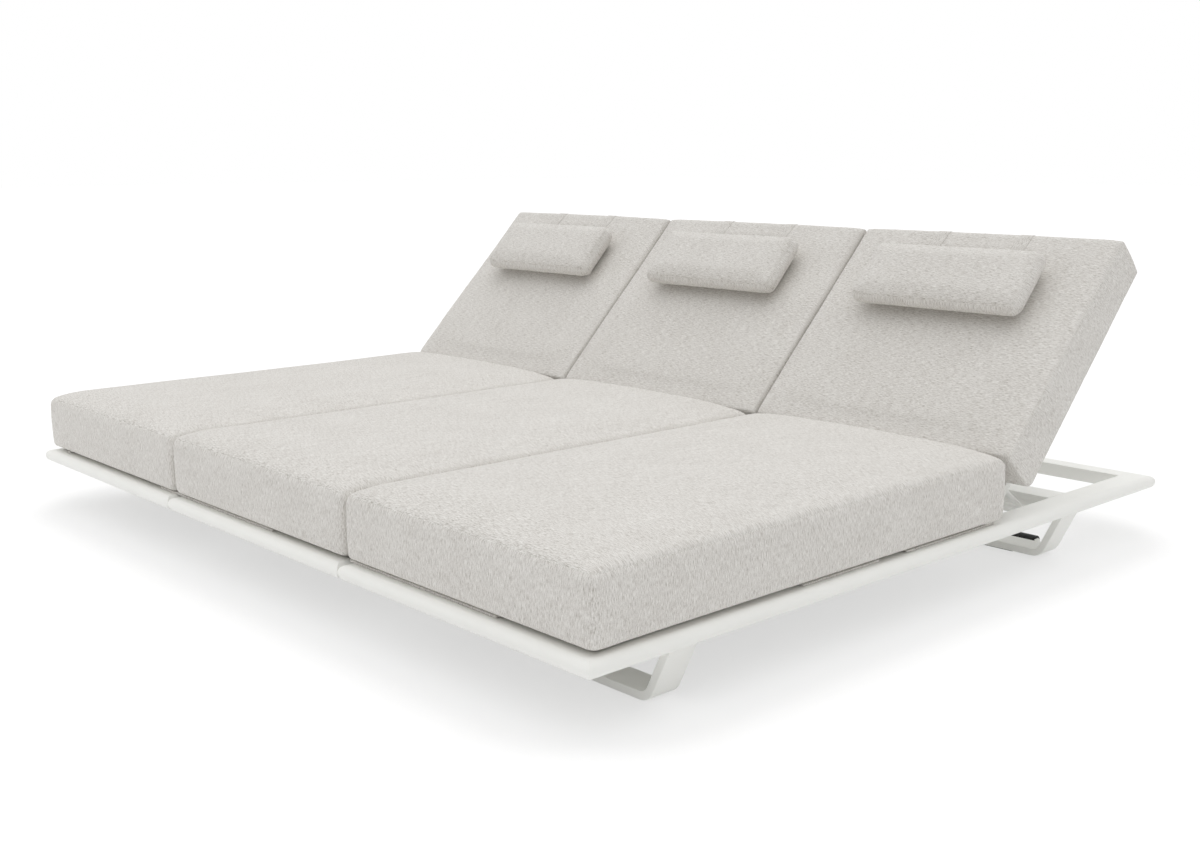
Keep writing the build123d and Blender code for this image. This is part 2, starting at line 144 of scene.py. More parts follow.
@contextmanager
def editing(piece: bpy.types.Object) -> Iterator[None]:
    """Opens a piece in edit mode, with nothing of its mesh selected, and closes it again.

    Args:
        piece: The piece.
    """
    pick(piece)
    bpy.ops.object.mode_set(mode="EDIT")
    bpy.ops.mesh.select_all(action="DESELECT")
    try:
        yield
    finally:
        bpy.ops.object.mode_set(mode="OBJECT")


def choose_edges(piece: bpy.types.Object, test: Callable[[Vector, Vector], bool]) -> None:
    """Selects some edges of a piece in edit mode, and nothing else.

    Args:
        piece: The piece.
        test: Takes the two ends of an edge and says whether it is chosen.
    """
    bpy.ops.mesh.select_mode(type="EDGE")
    mesh = bmesh.from_edit_mesh(piece.data)
    for edge in mesh.edges:
        edge.select_set(False)
    for edge in mesh.edges:
        if test(edge.verts[0].co, edge.verts[1].co):
            edge.select_set(True)
    bmesh.update_edit_mesh(piece.data)


def choose_faces(piece: bpy.types.Object, test: Callable[[Vector, Vector], bool]) -> None:
    """Selects some faces of a piece in edit mode, and nothing else.

    Args:
        piece: The piece.
        test: Takes a face's middle and its normal and says whether it is chosen.
    """
    bpy.ops.mesh.select_mode(type="FACE")
    mesh = bmesh.from_edit_mesh(piece.data)
    mesh.normal_update()
    for face in mesh.faces:
        face.select_set(False)
    for face in mesh.faces:
        if test(face.calc_center_median(), face.normal):
            face.select_set(True)
    bmesh.update_edit_mesh(piece.data)


def start_block(name: str, low: Sequence[float], high: Sequence[float]) -> bpy.types.Object:
    """Adds a block between two corners, with its place in its mesh.

    Args:
        name: The piece's name.
        low: The lowest corner.
        high: The highest corner.

    Returns:
        The block, ready to be shaped.
    """
    deselect_all()
    middle = [(a + b) / 2 for a, b in zip(low, high)]
    bpy.ops.mesh.primitive_cube_add(size=1, location=middle)
    piece = bpy.context.object
    piece.name = piece.data.name = name
    piece.scale = [b - a for a, b in zip(low, high)]
    bpy.ops.object.transform_apply(location=True, rotation=True, scale=True)
    return piece


def start_rod(name: str, start: Vector, end: Vector, radius: float, sides: int = 32) -> bpy.types.Object:
    """Adds a round rod with its place in its mesh.

    Args:
        name: The piece's name.
        start: The middle of its first end.
        end: The middle of its other end.
        radius: Its radius.
        sides: The facets round it.

    Returns:
        The rod, ready to be shaped.
    """
    deselect_all()
    run = end - start
    bpy.ops.mesh.primitive_cylinder_add(
        vertices=sides, radius=radius, depth=run.length, location=(start + end) / 2,
        rotation=run.to_track_quat("Z", "Y").to_euler())
    piece = bpy.context.object
    piece.name = piece.data.name = name
    bpy.ops.object.transform_apply(location=True, rotation=True, scale=True)
    return piece


def bevel(width: float, segments: int) -> None:
    """Bevels the selected edges of the piece in edit mode."""
    bpy.ops.mesh.bevel(
        offset=width, offset_type="OFFSET", segments=segments, affect="EDGES", clamp_overlap=True)


def apply_modifiers(piece: bpy.types.Object) -> None:
    """Applies every modifier of a piece in order."""
    pick(piece)
    for name in [modifier.name for modifier in piece.modifiers]:
        bpy.ops.object.modifier_apply(modifier=name)


def soften_edges(piece: bpy.types.Object, width: float, segments: int = 2, angle: float = 35) -> None:
    """Rounds every sharp edge of a piece with an applied bevel modifier.

    Args:
        piece: The piece.
        width: The width of the rounded edges.
        segments: The faces across a rounded edge.
        angle: How sharp an edge has to be, in degrees.
    """
    modifier = piece.modifiers.new("soft edges", "BEVEL")
    modifier.width = width
    modifier.segments = segments
    modifier.limit_method = "ANGLE"
    modifier.angle_limit = radians(angle)
    modifier.harden_normals = False
    apply_modifiers(piece)


def smooth(piece: bpy.types.Object, angle: float = 35) -> None:
    """Shades a piece smooth, apart from edges sharper than an angle."""
    pick(piece)
    bpy.ops.object.shade_smooth_by_angle(angle=radians(angle))


def face_outwards(piece: bpy.types.Object) -> None:
    """Merges doubled points and turns every face of a closed piece outwards."""
    with editing(piece):
        bpy.ops.mesh.select_all(action="SELECT")
        bpy.ops.mesh.remove_doubles(threshold=0.01 * MM)
        bpy.ops.mesh.normals_make_consistent(inside=False)


def join(pieces: Sequence[bpy.types.Object], name: str) -> bpy.types.Object:
    """Joins loose pieces into one object.

    Args:
        pieces: The pieces.
        name: The name of the whole.

    Returns:
        The whole.
    """
    deselect_all()
    for piece in pieces:
        piece.select_set(True)
    bpy.context.view_layer.objects.active = pieces[0]
    if len(pieces) > 1:
        bpy.ops.object.join()
    whole = bpy.context.view_layer.objects.active
    whole.name = whole.data.name = name
    return whole


def copy_piece(piece: bpy.types.Object, name: str, move: Matrix) -> bpy.types.Object:
    """Copies a piece with a mesh of its own, moved in that mesh.

    Args:
        piece: The piece to copy.
        name: The copy's name.
        move: Where the copy goes, from where the piece is.

    Returns:
        The copy.
    """
    copy = piece.copy()
    copy.data = piece.data.copy()
    copy.name = copy.data.name = name
    bpy.context.scene.collection.objects.link(copy)
    copy.data.transform(move)
    if move.determinant() < 0:
        copy.data.flip_normals()
    return copy


def softened_copy(node: str, name: str, width: float, segments: int = 2) -> bpy.types.Object:
    """Copies a CAD node, merges its loose triangles and rounds its edges.

    Args:
        node: The CAD node.
        name: The copy's name.
        width: The width of the rounded edges.
        segments: The faces across a rounded edge.

    Returns:
        The copy, which still needs its body, its node and its finish.
    """
    copy = frame["nodes"][node].copy()
    copy.data = copy.data.copy()
    copy.parent = None
    copy.matrix_world = Matrix.Identity(4)
    for key in list(copy.keys()):
        del copy[key]
    copy.name = copy.data.name = name
    bpy.context.scene.collection.objects.link(copy)
    copy.data.materials.clear()
    with editing(copy):
        bpy.ops.mesh.select_all(action="SELECT")
        bpy.ops.mesh.remove_doubles(threshold=0.01 * MM)
        bpy.ops.mesh.dissolve_limited(angle_limit=radians(1))
    soften_edges(copy, width, segments)
    smooth(copy)
    return copy


def rows_of(things: bpy.types.bpy_prop_collection, key: str) -> np.ndarray:
    """One vector of each point or face of a mesh, one row each.

    Args:
        things: The points or the faces.
        key: The name of their vector.

    Returns:
        The vectors.
    """
    values = np.zeros(len(things) * 3, np.float32)
    things.foreach_get(key, values)
    return values.reshape(-1, 3).astype(float)


def points_of(mesh: bpy.types.Mesh) -> np.ndarray:
    """The places of a mesh's points, one row each."""
    return rows_of(mesh.vertices, "co")


def set_points(mesh: bpy.types.Mesh, places: np.ndarray) -> None:
    """Writes the places of a mesh's points."""
    mesh.vertices.foreach_set("co", places.astype(np.float32).ravel())
    mesh.update()


def settle(piece: bpy.types.Object, body: str, finish: bpy.types.Material,
           nodes: Sequence[str] = ()) -> bpy.types.Object:
    """Gives a finished piece its material and its body, and hides the CAD nodes that it stands for.

    Args:
        piece: The piece.
        body: The body that it rides on.
        finish: Its material.
        nodes: The CAD nodes that it stands for.

    Returns:
        The piece.
    """
    piece.data.materials.clear()
    piece.data.materials.append(finish)
    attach(piece, body)
    if nodes:
        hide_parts(*nodes)
    log.info("%s: %d faces, rides on %s", piece.name, len(piece.data.polygons), body)
    return piece


# Finishes


def start_finish(name: str) -> tuple[bpy.types.Material, bpy.types.NodeTree, bpy.types.Node]:
    """Starts a material and hands it out with its tree and its shader.

    Args:
        name: The material's name.

    Returns:
        The material, its tree and its shader.
    """
    made = bpy.data.materials.new(name)
    made.use_nodes = True
    return made, made.node_tree, made.node_tree.nodes["Principled BSDF"]


def dress(shader: bpy.types.Node, tints: tuple[str, str], blend: bpy.types.NodeSocket,
          roughness: tuple[float, float], grain: bpy.types.NodeSocket,
          relief: tuple[float, float] | None) -> None:
    """Gives a shader two tints that blend, and a roughness and a relief that follow a grain.

    Args:
        shader: The material's shader.
        tints: The two tints.
        blend: How much of the second tint shows.
        roughness: The roughness at the grain's lowest and highest.
        grain: The grain.
        relief: The strength and the millimetres of the bump, or None for a smooth surface.
    """
    tree = shader.id_data
    tint = add_node(tree, "ShaderNodeMix", {"data_type": "RGBA", 6: linear(tints[0]), 7: linear(tints[1])},
                    {0: blend})
    rough = add_node(tree, "ShaderNodeMapRange", {"To Min": roughness[0], "To Max": roughness[1]},
                     {"Value": grain})
    tree.links.new(tint.outputs[2], shader.inputs["Base Color"])
    tree.links.new(rough.outputs["Result"], shader.inputs["Roughness"])
    if relief is not None:
        bump = add_node(tree, "ShaderNodeBump", {"Strength": relief[0], "Distance": relief[1] * MM},
                        {"Height": grain})
        tree.links.new(bump.outputs["Normal"], shader.inputs["Normal"])


def wave_scale(spacing: float) -> float:
    """The scale at which a wave texture's bands lie a number of millimetres apart."""
    return pi / 10 / (spacing * MM)


@dataclass(frozen=True)
class WovenAcrylic:
    """Solution-dyed acrylic in a plain weave of mixed pale and grey yarns.

    The yarns run in streaks of slightly different greys, and the surface is dull with a faint bloom. Yarns
    are about half a millimetre thick. Streaks and ribs are drawn two to three times as coarse, so that they
    show. Every length is in millimetres.
    """

    name: str = "woven_acrylic"
    dark_yarn: str = "#B1ABA3"
    body_yarn: str = "#DCD9D4"
    pale_yarn: str = "#F2F0EC"
    streak_length: float = 23
    streak_width: float = 1.15
    fine_length: float = 8.5
    fine_width: float = 0.8
    pick_length: float = 4
    pick_width: float = 1.0
    cloud_size: float = 120
    shares: tuple[float, float, float, float] = (0.40, 0.40, 0.15, 0.05)
    dark_stop: float = 0.36
    yarn_spacing: float = 1.5
    yarn_depth: float = 0.22
    relief: float = 0.38
    ior: float = 1.47
    roughness: float = 0.93
    sheen: float = 0.12

    def material(self) -> bpy.types.Material:
        """Builds the material on the cloth's own UV map, which is in metres.

        Returns:
            The woven material.
        """
        made, tree, shader = start_finish(self.name)
        cloth = add_node(tree, "ShaderNodeUVMap", {"uv_map": "cloth"}).outputs["UV"]

        def yarn_noise(along: float, across: float, detail: float) -> bpy.types.NodeSocket:
            """Noise with grains of a length and a width.

            Args:
                along: The grains' length in millimetres.
                across: Their width.
                detail: How many finer layers the noise has.

            Returns:
                The noise's factor.
            """
            scale = (1 / (along * MM), 1 / (across * MM), 1.0)
            place = add_node(tree, "ShaderNodeMapping", {"Scale": scale}, {"Vector": cloth})
            noise = add_node(tree, "ShaderNodeTexNoise",
                             {"noise_dimensions": "2D", "Scale": 1.0, "Detail": detail, "Roughness": 0.55},
                             {"Vector": place.outputs["Vector"]})
            return noise.outputs["Fac"]

        streak = yarn_noise(self.streak_length, self.streak_width, 2.0)
        fine = yarn_noise(self.fine_length, self.fine_width, 1.0)
        pick_yarn = yarn_noise(self.pick_width, self.pick_length, 1.0)
        cloud = yarn_noise(self.cloud_size, self.cloud_size, 3.0)
        mix = None
        for socket, share in zip((streak, fine, pick_yarn, cloud), self.shares):
            links = {0: socket} if mix is None else {0: socket, 2: mix.outputs[0]}
            operation = "MULTIPLY" if mix is None else "MULTIPLY_ADD"
            mix = add_node(tree, "ShaderNodeMath", {"operation": operation, 1: share}, links)
        ramp = add_node(tree, "ShaderNodeValToRGB", links={"Fac": mix.outputs[0]})
        stops = ramp.color_ramp.elements
        stops[0].position, stops[0].color = self.dark_stop, linear(self.dark_yarn)
        stops[1].position, stops[1].color = 1 - self.dark_stop, linear(self.pale_yarn)
        middle = stops.new(0.5)
        middle.color = linear(self.body_yarn)
        tree.links.new(ramp.outputs["Color"], shader.inputs["Base Color"])

        ribs = []
        for direction in ("X", "Y"):
            ribs.append(add_node(tree, "ShaderNodeTexWave",
                                 {"bands_direction": direction, "Scale": wave_scale(self.yarn_spacing),
                                  "Distortion": 0.6, "Detail": 1.0, "Detail Scale": 2.0},
                                 {"Vector": cloth}).outputs["Fac"])
        weave = add_node(tree, "ShaderNodeMath", {"operation": "MULTIPLY"}, {0: ribs[0], 1: ribs[1]})
        height = add_node(tree, "ShaderNodeMath", {"operation": "MULTIPLY_ADD", 1: 1.2},
                          {0: fine, 2: weave.outputs[0]})
        bump = add_node(tree, "ShaderNodeBump", {"Strength": self.relief, "Distance": self.yarn_depth * MM},
                        {"Height": height.outputs[0]})
        tree.links.new(bump.outputs["Normal"], shader.inputs["Normal"])
        rough = add_node(tree, "ShaderNodeMapRange",
                         {"To Min": self.roughness - 0.05, "To Max": self.roughness + 0.05}, {"Value": fine})
        tree.links.new(rough.outputs["Result"], shader.inputs["Roughness"])
        shader.inputs["IOR"].default_value = self.ior
        shader.inputs["Sheen Weight"].default_value = self.sheen
        shader.inputs["Sheen Roughness"].default_value = 0.6
        return made


@dataclass(frozen=True)
class SeamWelt:
    """The folded edge of a cushion seam: the same acrylic, turned in and stitched every few millimetres.

    It reads as a thin line of pale stitches, with painted shade of the fold between them.
    """

    name: str = "seam_welt"
    thread: str = "#F0EEEA"
    # Painted shade of the fold between the stitches.
    shade: str = "#CFCCC6"
    stitch_pitch: float = 4.0
    stitch_depth: float = 0.3
    ior: float = 1.47
    roughness: float = 0.9

    def material(self) -> bpy.types.Material:
        """Builds the material from object coordinates, in bands one stitch long.

        Returns:
            The seam's material.
        """
        made, tree, shader = start_finish(self.name)
        place = add_node(tree, "ShaderNodeTexCoord").outputs["Object"]
        stitches = add_node(tree, "ShaderNodeTexWave",
                            {"bands_direction": "DIAGONAL", "Scale": wave_scale(self.stitch_pitch),
                             "Distortion": 1.0}, {"Vector": place})
        ramp = add_node(tree, "ShaderNodeValToRGB", links={"Fac": stitches.outputs["Fac"]})
        # The darker bands between the stitches are painted shade of the fold; the pale bands are the thread's
        # own colour.
        ramp.color_ramp.elements[0].color = linear(self.shade)
        ramp.color_ramp.elements[1].color = linear(self.thread)
        bump = add_node(tree, "ShaderNodeBump", {"Strength": 0.6, "Distance": self.stitch_depth * MM},
                        {"Height": stitches.outputs["Fac"]})
        tree.links.new(ramp.outputs["Color"], shader.inputs["Base Color"])
        tree.links.new(bump.outputs["Normal"], shader.inputs["Normal"])
        shader.inputs["IOR"].default_value = self.ior
        shader.inputs["Roughness"].default_value = self.roughness
        return made


@dataclass(frozen=True)
class PowderCoat:
    """Polyester powder coat on aluminium, baked to a fine satin grain.

    The grain is about half a millimetre; it is drawn three times as coarse so that it shows at all.
    """

    name: str = "powder_coat"
    colour: str = "#F8F8F4"
    shade: str = "#F4F4F0"
    grain: float = 1.5
    grain_depth: float = 0.03
    flow_size: float = 60
    ior: float = 1.5
    roughness: float = 0.42

    def material(self) -> bpy.types.Material:
        """Builds the material from object coordinates.

        Returns:
            The coating.
        """
        made, tree, shader = start_finish(self.name)
        place = add_node(tree, "ShaderNodeTexCoord").outputs["Object"]
        grain = add_node(tree, "ShaderNodeTexNoise", {"Scale": 1 / (self.grain * MM), "Detail": 2.0},
                         {"Vector": place})
        flow = add_node(tree, "ShaderNodeTexNoise", {"Scale": 1 / (self.flow_size * MM), "Detail": 3.0},
                        {"Vector": place})
        dress(shader, (self.colour, self.shade), flow.outputs["Fac"],
              (self.roughness - 0.06, self.roughness + 0.08), grain.outputs["Fac"], (0.35, self.grain_depth))
        shader.inputs["IOR"].default_value = self.ior
        return made


@dataclass(frozen=True)
class MouldedPolymer:
    """A dull moulded polymer, as the rollers and glides are made of, with a sparse scuffed grain."""

    name: str
    colour: str
    scuff: str
    grain: float
    ior: float
    roughness: float
    grain_depth: float = 0.08

    def material(self) -> bpy.types.Material:
        """Builds the material from object coordinates.

        Returns:
            The polymer's material.
        """
        made, tree, shader = start_finish(self.name)
        place = add_node(tree, "ShaderNodeTexCoord").outputs["Object"]
        grain = add_node(tree, "ShaderNodeTexNoise",
                         {"Scale": 1 / (self.grain * MM), "Detail": 4.0, "Roughness": 0.65},
                         {"Vector": place})
        dress(shader, (self.colour, self.scuff), grain.outputs["Fac"],
              (self.roughness - 0.1, self.roughness + 0.1), grain.outputs["Fac"], (0.4, self.grain_depth))
        shader.inputs["IOR"].default_value = self.ior
        return made


@dataclass(frozen=True)
class TurnedStainless:
    """Turned stainless steel of the pins and bolts, with fine rings from the lathe."""

    name: str = "turned_stainless"
    colour: str = "#B9B8B4"
    worn: str = "#A3A29E"
    ring_spacing: float = 0.8
    roughness: float = 0.3

    def material(self) -> bpy.types.Material:
        """Builds the material from object coordinates.

        Returns:
            The steel's material.
        """
        made, tree, shader = start_finish(self.name)
        place = add_node(tree, "ShaderNodeTexCoord").outputs["Object"]
        rings = add_node(tree, "ShaderNodeTexWave",
                         {"bands_direction": "X", "Scale": wave_scale(self.ring_spacing), "Distortion": 1.5},
                         {"Vector": place}).outputs["Fac"]
        dress(shader, (self.colour, self.worn), rings, (self.roughness - 0.06, self.roughness + 0.08),
              rings, None)
        shader.inputs["Metallic"].default_value = 1.0
        return made


@dataclass
class Finishes:
    """Every finish of the lounger, made once."""

    fabric: bpy.types.Material = field(default_factory=lambda: WovenAcrylic().material())
    tape: bpy.types.Material = field(default_factory=lambda: WovenAcrylic(
        name="woven_tape", dark_yarn="#B0AAA2", body_yarn="#D9D6D1", pale_yarn="#EFEDE9",
        streak_length=20, streak_width=1.3).material())
    seam: bpy.types.Material = field(default_factory=lambda: SeamWelt().material())
    coat: bpy.types.Material = field(default_factory=lambda: PowderCoat().material())
    rubber: bpy.types.Material = field(default_factory=lambda: MouldedPolymer(
        "moulded_rubber", "#1D1D1E", "#2A2A2B", 2.0, 1.52, 0.62).material())
    plastic: bpy.types.Material = field(default_factory=lambda: MouldedPolymer(
        "moulded_polyethylene", "#3A3A3B", "#4A4A4A", 1.6, 1.51, 0.5).material())
    steel: bpy.types.Material = field(default_factory=lambda: TurnedStainless().material())


# Places that come from the frame


@dataclass(frozen=True)
class BedPlace:
    """Where one bed and its back stand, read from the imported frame."""

    name: str
    hinge: Vector
    rest_angle: float

    @classmethod
    def of(cls, bed: str) -> "BedPlace":
        """Reads a bed's joints.

        Args:
            bed: One of the names in BEDS.

        Returns:
            The bed's place.
        """
        joints = {joint["name"]: joint for joint in frame["joints"]}
        hinge = Vector(joints[f"{bed}_back_hinge"]["pos_m"])
        along = Vector(joints[f"{bed}_cushion_slide"]["axis"]).normalized()
        return cls(bed, hinge, atan2(along.z, along.y))

    def back_axes(self) -> Matrix:
        """The matrix from the back's own axes, X across, Y up the back and Z out of it, to the object."""
        return Matrix.Translation(self.hinge) @ Euler((self.rest_angle, 0, 0)).to_matrix().to_4x4()

    def own_box(self, node: str, axes: Matrix) -> tuple[Vector, Vector]:
        """The lowest and highest corner of a CAD node in other axes.

        Args:
            node: The CAD node.
            axes: The matrix from those axes to the object.

        Returns:
            The two corners.
        """
        turn = np.array(axes.inverted())
        places = points_of(frame["nodes"][node].data) @ turn[:3, :3].T + turn[:3, 3]
        return Vector(places.min(0)), Vector(places.max(0))


# Cushions


@dataclass
class BoxCushion:
    """A box cushion of foam in a sewn cover, made in its own axes with Z out of what carries it.

    Its foot is the end at low Y and its head the one at high Y. The upper seam lies at the foot of the crown,
    and the boxing reaches from it down to the lower seam. The lengths of puckers and waves are in millimetres.
    """

    name: str
    low: Vector
    high: Vector
    axes: Matrix
    crown: float = 32 * MM
    crown_start: float = 1.5 * MM
    rim: float = 1.5 * MM
    roll_share: float = 0.6
    roll_reach: float = 76 * MM
    foot_reach: float = 100 * MM
    head_reach: float = 50 * MM
    corner: float = 20 * MM
    head_corner_share: float = 0.5
    under_step: float = 14 * MM
    under_inset: float = 40 * MM
    tail_round: float = 0.0
    voxel: float = 6 * MM
    stuffing_voxel: float = 20 * MM
    pressure: float = 4.0
    cloth_mass: float = 0.3
    cloth_quality: int = 4
    simulated_steps: int = 20
    giving_points: int = 6
    most_swell: float = 6 * MM
    groove_depth: float = 0.6 * MM
    groove_width: float = 3 * MM
    groove_reach: float = 12 * MM
    pucker: float = 0.35 * MM
    pucker_reach: float = 16 * MM
    pucker_lengths: tuple[float, ...] = (17, 26, 41, 63)
    wave: float = 1.1 * MM
    wave_lengths: tuple[float, ...] = (240, 310, 420, 530, 700)
    welt_radius: float = 0.7 * MM
    welt_step: float = 9 * MM
    welt_sink: float = 0.2 * MM
    ray_room: float = 60 * MM
    turn_steps: int = 6
    side_room: float = 2 * MM
    top_room: float = 4 * MM
    bulge: float = 2 * MM
    bulge_reach: float = 60 * MM
    low_fullness: float = 0.0
    softening: int = 3
    roll_softening: int = 8
    roll_depth: float = 12 * MM
    roll_width: float = 30 * MM
    roll_length: float = 150 * MM
    panel_shift: tuple[float, float, float] = (1.7, 3.1, 0.83)
    seed: int = 1

    def seam_heights(self) -> tuple[float, float]:
        """The heights of the upper seam, at the foot of the crown, and of the lower one."""
        return self.high.z - self.crown, self.low.z + self.under_step

    def shell(self) -> bpy.types.Object:
        """Models the cover's shape from a block.

        Returns:
            The cover before it is stuffed.
        """
        upper, lower = self.seam_heights()
        piece = start_block(self.name, (self.low.x, self.low.y, lower), (self.high.x, self.high.y, upper))
        with editing(piece):
            if self.tail_round > 0:
                choose_edges(piece, lambda a, b: max(a.y, b.y) < self.low.y + MM
                             and max(a.z, b.z) < lower + MM)
                bevel(self.tail_round, 8)
            middle_y = (self.low.y + self.high.y) / 2
            for headwards, width in ((False, self.corner), (True, self.corner * self.head_corner_share)):
                choose_edges(piece, lambda a, b: abs(a.z - b.z) > MM and abs(a.y - b.y) < 0.1 * MM
                             and (a.y > middle_y) == headwards)
                bevel(width, 6)
            choose_faces(piece, lambda middle, normal: normal.z < -0.99)
            bpy.ops.mesh.inset(thickness=self.under_inset)
            bpy.ops.transform.translate(value=(0, 0, -self.under_step))
        return piece

    def edge_gaps(self, places: np.ndarray) -> tuple[np.ndarray, np.ndarray]:
        """How far each point lies inside the cushion's outline, across it and along it.

        Args:
            places: Points in the cushion's own axes.

        Returns:
            The two gaps of each point.
        """
        middle, reach = np.array((self.low + self.high) / 2), np.array((self.high - self.low) / 2)
        gaps = np.clip(reach - np.abs(places - middle), 0, None)
        return gaps[:, 0], gaps[:, 1]

    def crown_shape(self, places: np.ndarray) -> np.ndarray:
        """Raises the top panel in a round roll from the seam, and in a slow dome across the panel.

        Args:
            places: The points of the remeshed cover.

        Returns:
            The moved points.
        """
        upper, _ = self.seam_heights()
        across, along = self.edge_gaps(places)

        def ease(gap: np.ndarray, reach: float | np.ndarray) -> np.ndarray:
            """A rise from an edge that levels out at the reach."""
            return 1 - (1 - np.clip(gap / reach, 0, 1)) ** 2

        across, along = (np.clip(gap - self.rim, 0, None) for gap in (across, along))
        rise = self.roll_share * np.sqrt(ease(across, self.roll_reach))
        rise += (1 - self.roll_share) * ease(across, (self.high.x - self.low.x) / 2)
        headwards = places[:, 1] > (self.low.y + self.high.y) / 2
        rise *= self.crown * np.sqrt(ease(along, np.where(headwards, self.head_reach, self.foot_reach)))
        moved = places.copy()
        moved[:, 2] += rise * np.clip((places[:, 2] - upper) / self.crown_start + 1, 0, 1)
        return moved

    def lift(self, along: np.ndarray | float) -> np.ndarray:
        """How much thicker the cushion is at a place along it than at its head."""
        share = np.clip((along - self.low.y) / (self.high.y - self.low.y), 0, 1)
        return self.low_fullness * (1 - share ** 2 * (3 - 2 * share))

    def fill_out(self, places: np.ndarray) -> np.ndarray:
        """Draws the seams in a little from the boxing between them, and thickens the lower half.

        Args:
            places: The points of the sewn cover.

        Returns:
            The moved points.
        """
        upper, lower = self.seam_heights()
        moved = places.copy()
        belly = np.sin(pi * np.clip((places[:, 2] - lower) / (upper - lower), 0, 1))
        middle = np.array((self.low + self.high) / 2)
        for axis in (0, 1):
            gap = places[:, axis] - middle[axis]
            near = np.clip(1 - (np.abs(gap).max() - np.abs(gap)) / self.bulge_reach, 0, 1)
            moved[:, axis] -= np.sign(gap) * self.bulge * (1 - belly) * near
        if self.low_fullness > 0:
            body = np.clip((places[:, 2] - lower) / (upper - lower), 0, 1)
            panel = np.clip((places[:, 2] - upper) / self.crown, 0, 1)
            moved[:, 2] += self.lift(places[:, 1]) * body * (1 - 0.7 * panel)
        return moved

    def stuff(self, piece: bpy.types.Object) -> None:
        """Blows a coarse copy of the cover up against its seams, as foam does, and hands its swell on.

        Args:
            piece: The fine cover that takes the swell.
        """
        sack = copy_piece(piece, f"{self.name}_sack", Matrix.Identity(4))
        remesh = sack.modifiers.new("coarse cloth", "REMESH")
        remesh.mode = "VOXEL"
        remesh.voxel_size = self.stuffing_voxel
        apply_modifiers(sack)
        before = points_of(sack.data)
        seams = sack.vertex_groups.new(name="seams")
        held = np.zeros(len(before), bool)
        across, along = self.edge_gaps(before)
        for height in self.seam_heights():
            held |= np.abs(before[:, 2] - height) < self.stuffing_voxel * 0.6
        held &= np.minimum(across, along) < self.stuffing_voxel
        seams.add([int(number) for number in np.nonzero(held)[0]], 1.0, "REPLACE")
        cloth = sack.modifiers.new("stuffing", "CLOTH")
        cloth.settings.quality = self.cloth_quality
        cloth.settings.mass = self.cloth_mass
        cloth.settings.use_pressure = True
        cloth.settings.uniform_pressure_force = self.pressure
        cloth.settings.effector_weights.gravity = 0
        cloth.settings.vertex_group_mass = "seams"
        cloth.collision_settings.use_collision = False
        cloth.point_cache.frame_start, cloth.point_cache.frame_end = 1, self.simulated_steps
        for step in range(1, self.simulated_steps + 1):
            bpy.context.scene.frame_set(step)
        apply_modifiers(sack)
        swell = points_of(sack.data) - before
        size = np.linalg.norm(swell, axis=1, keepdims=True)
        swell *= np.minimum(1, self.most_swell / np.maximum(size, 1e-9))
        log.info("%s: swell up to %.1f mm, mean %.1f mm", self.name, size.max() / MM, size.mean() / MM)
        near = KDTree(len(before))
        for number, place in enumerate(before):
            near.insert(place, number)
        near.balance()
        places = points_of(piece.data)
        given = np.zeros_like(places)
        for number, place in enumerate(places):
            found = near.find_n(place, self.giving_points)
            weights = np.array([1 / (gap + 2 * MM) ** 2 for _, _, gap in found])
            giving = swell[[other for _, other, _ in found]]
            given[number] = (weights[:, None] * giving).sum(0) / weights.sum()
        set_points(piece.data, places + given)
        bpy.data.objects.remove(sack)
        bpy.context.scene.frame_set(1)

    def keep_room(self, piece: bpy.types.Object) -> None:
        """Presses the cover flat where it would push into its neighbours or what carries it.

        Args:
            piece: The cover in its own axes.
        """
        low = np.array(self.low) - np.array((self.side_room, self.side_room, 0))
        high = np.array(self.high) + np.array((self.side_room, self.side_room, self.top_room))
        set_points(piece.data, np.clip(points_of(piece.data), low, high))

    def cut_seam_lines(self, piece: bpy.types.Object) -> None:
        """Cuts edge loops at and beside every seam, so that the seams can be drawn sharp."""
        with editing(piece):
            for height in self.seam_heights():
                for offset in (-2, -1, 0, 1, 2):
                    level = height + offset * self.groove_width / 2
                    bpy.ops.mesh.select_all(action="SELECT")
                    bpy.ops.mesh.bisect(plane_co=(0, 0, level), plane_no=(0, 0, 1))
            bpy.ops.mesh.select_all(action="SELECT")
            bpy.ops.mesh.remove_doubles(threshold=self.groove_width / 3)

    def draw_seams(self, piece: bpy.types.Object) -> None:
        """Pulls the cover in along every seam, puckers it beside them and lets its panels wave a little.

        Args:
            piece: The cover in its own axes.
        """
        places, normals = points_of(piece.data), rows_of(piece.data.vertices, "normal")
        across, along = self.edge_gaps(places)
        rim = np.clip(2 - np.minimum(across, along) / self.groove_reach, 0, 1)
        chance = np.random.default_rng(self.seed)
        moved = places.copy()
        around = np.where(np.abs(normals[:, 0]) > np.abs(normals[:, 1]), places[:, 1], places[:, 0])
        for height in self.seam_heights():
            far = np.abs(places[:, 2] - height)
            pull = self.groove_depth * np.exp(-(far / (self.groove_width * 0.7)) ** 2)
            ripple = sum(np.sin(2 * pi * around / (length * MM) + chance.uniform(0, 2 * pi))
                         for length in self.pucker_lengths) / len(self.pucker_lengths)
            pucker = self.pucker * ripple * np.exp(-far / self.pucker_reach)
            moved -= normals * ((pull + pucker) * rim)[:, None]
        wave = sum(
            np.sin(2 * pi * (places @ chance.normal(size=3)) / (length * MM) + chance.uniform(0, 2 * pi))
            for length in self.wave_lengths) / len(self.wave_lengths)
        moved += normals * (wave * self.wave * (normals[:, 2] > -0.5))[:, None]
        set_points(piece.data, moved)

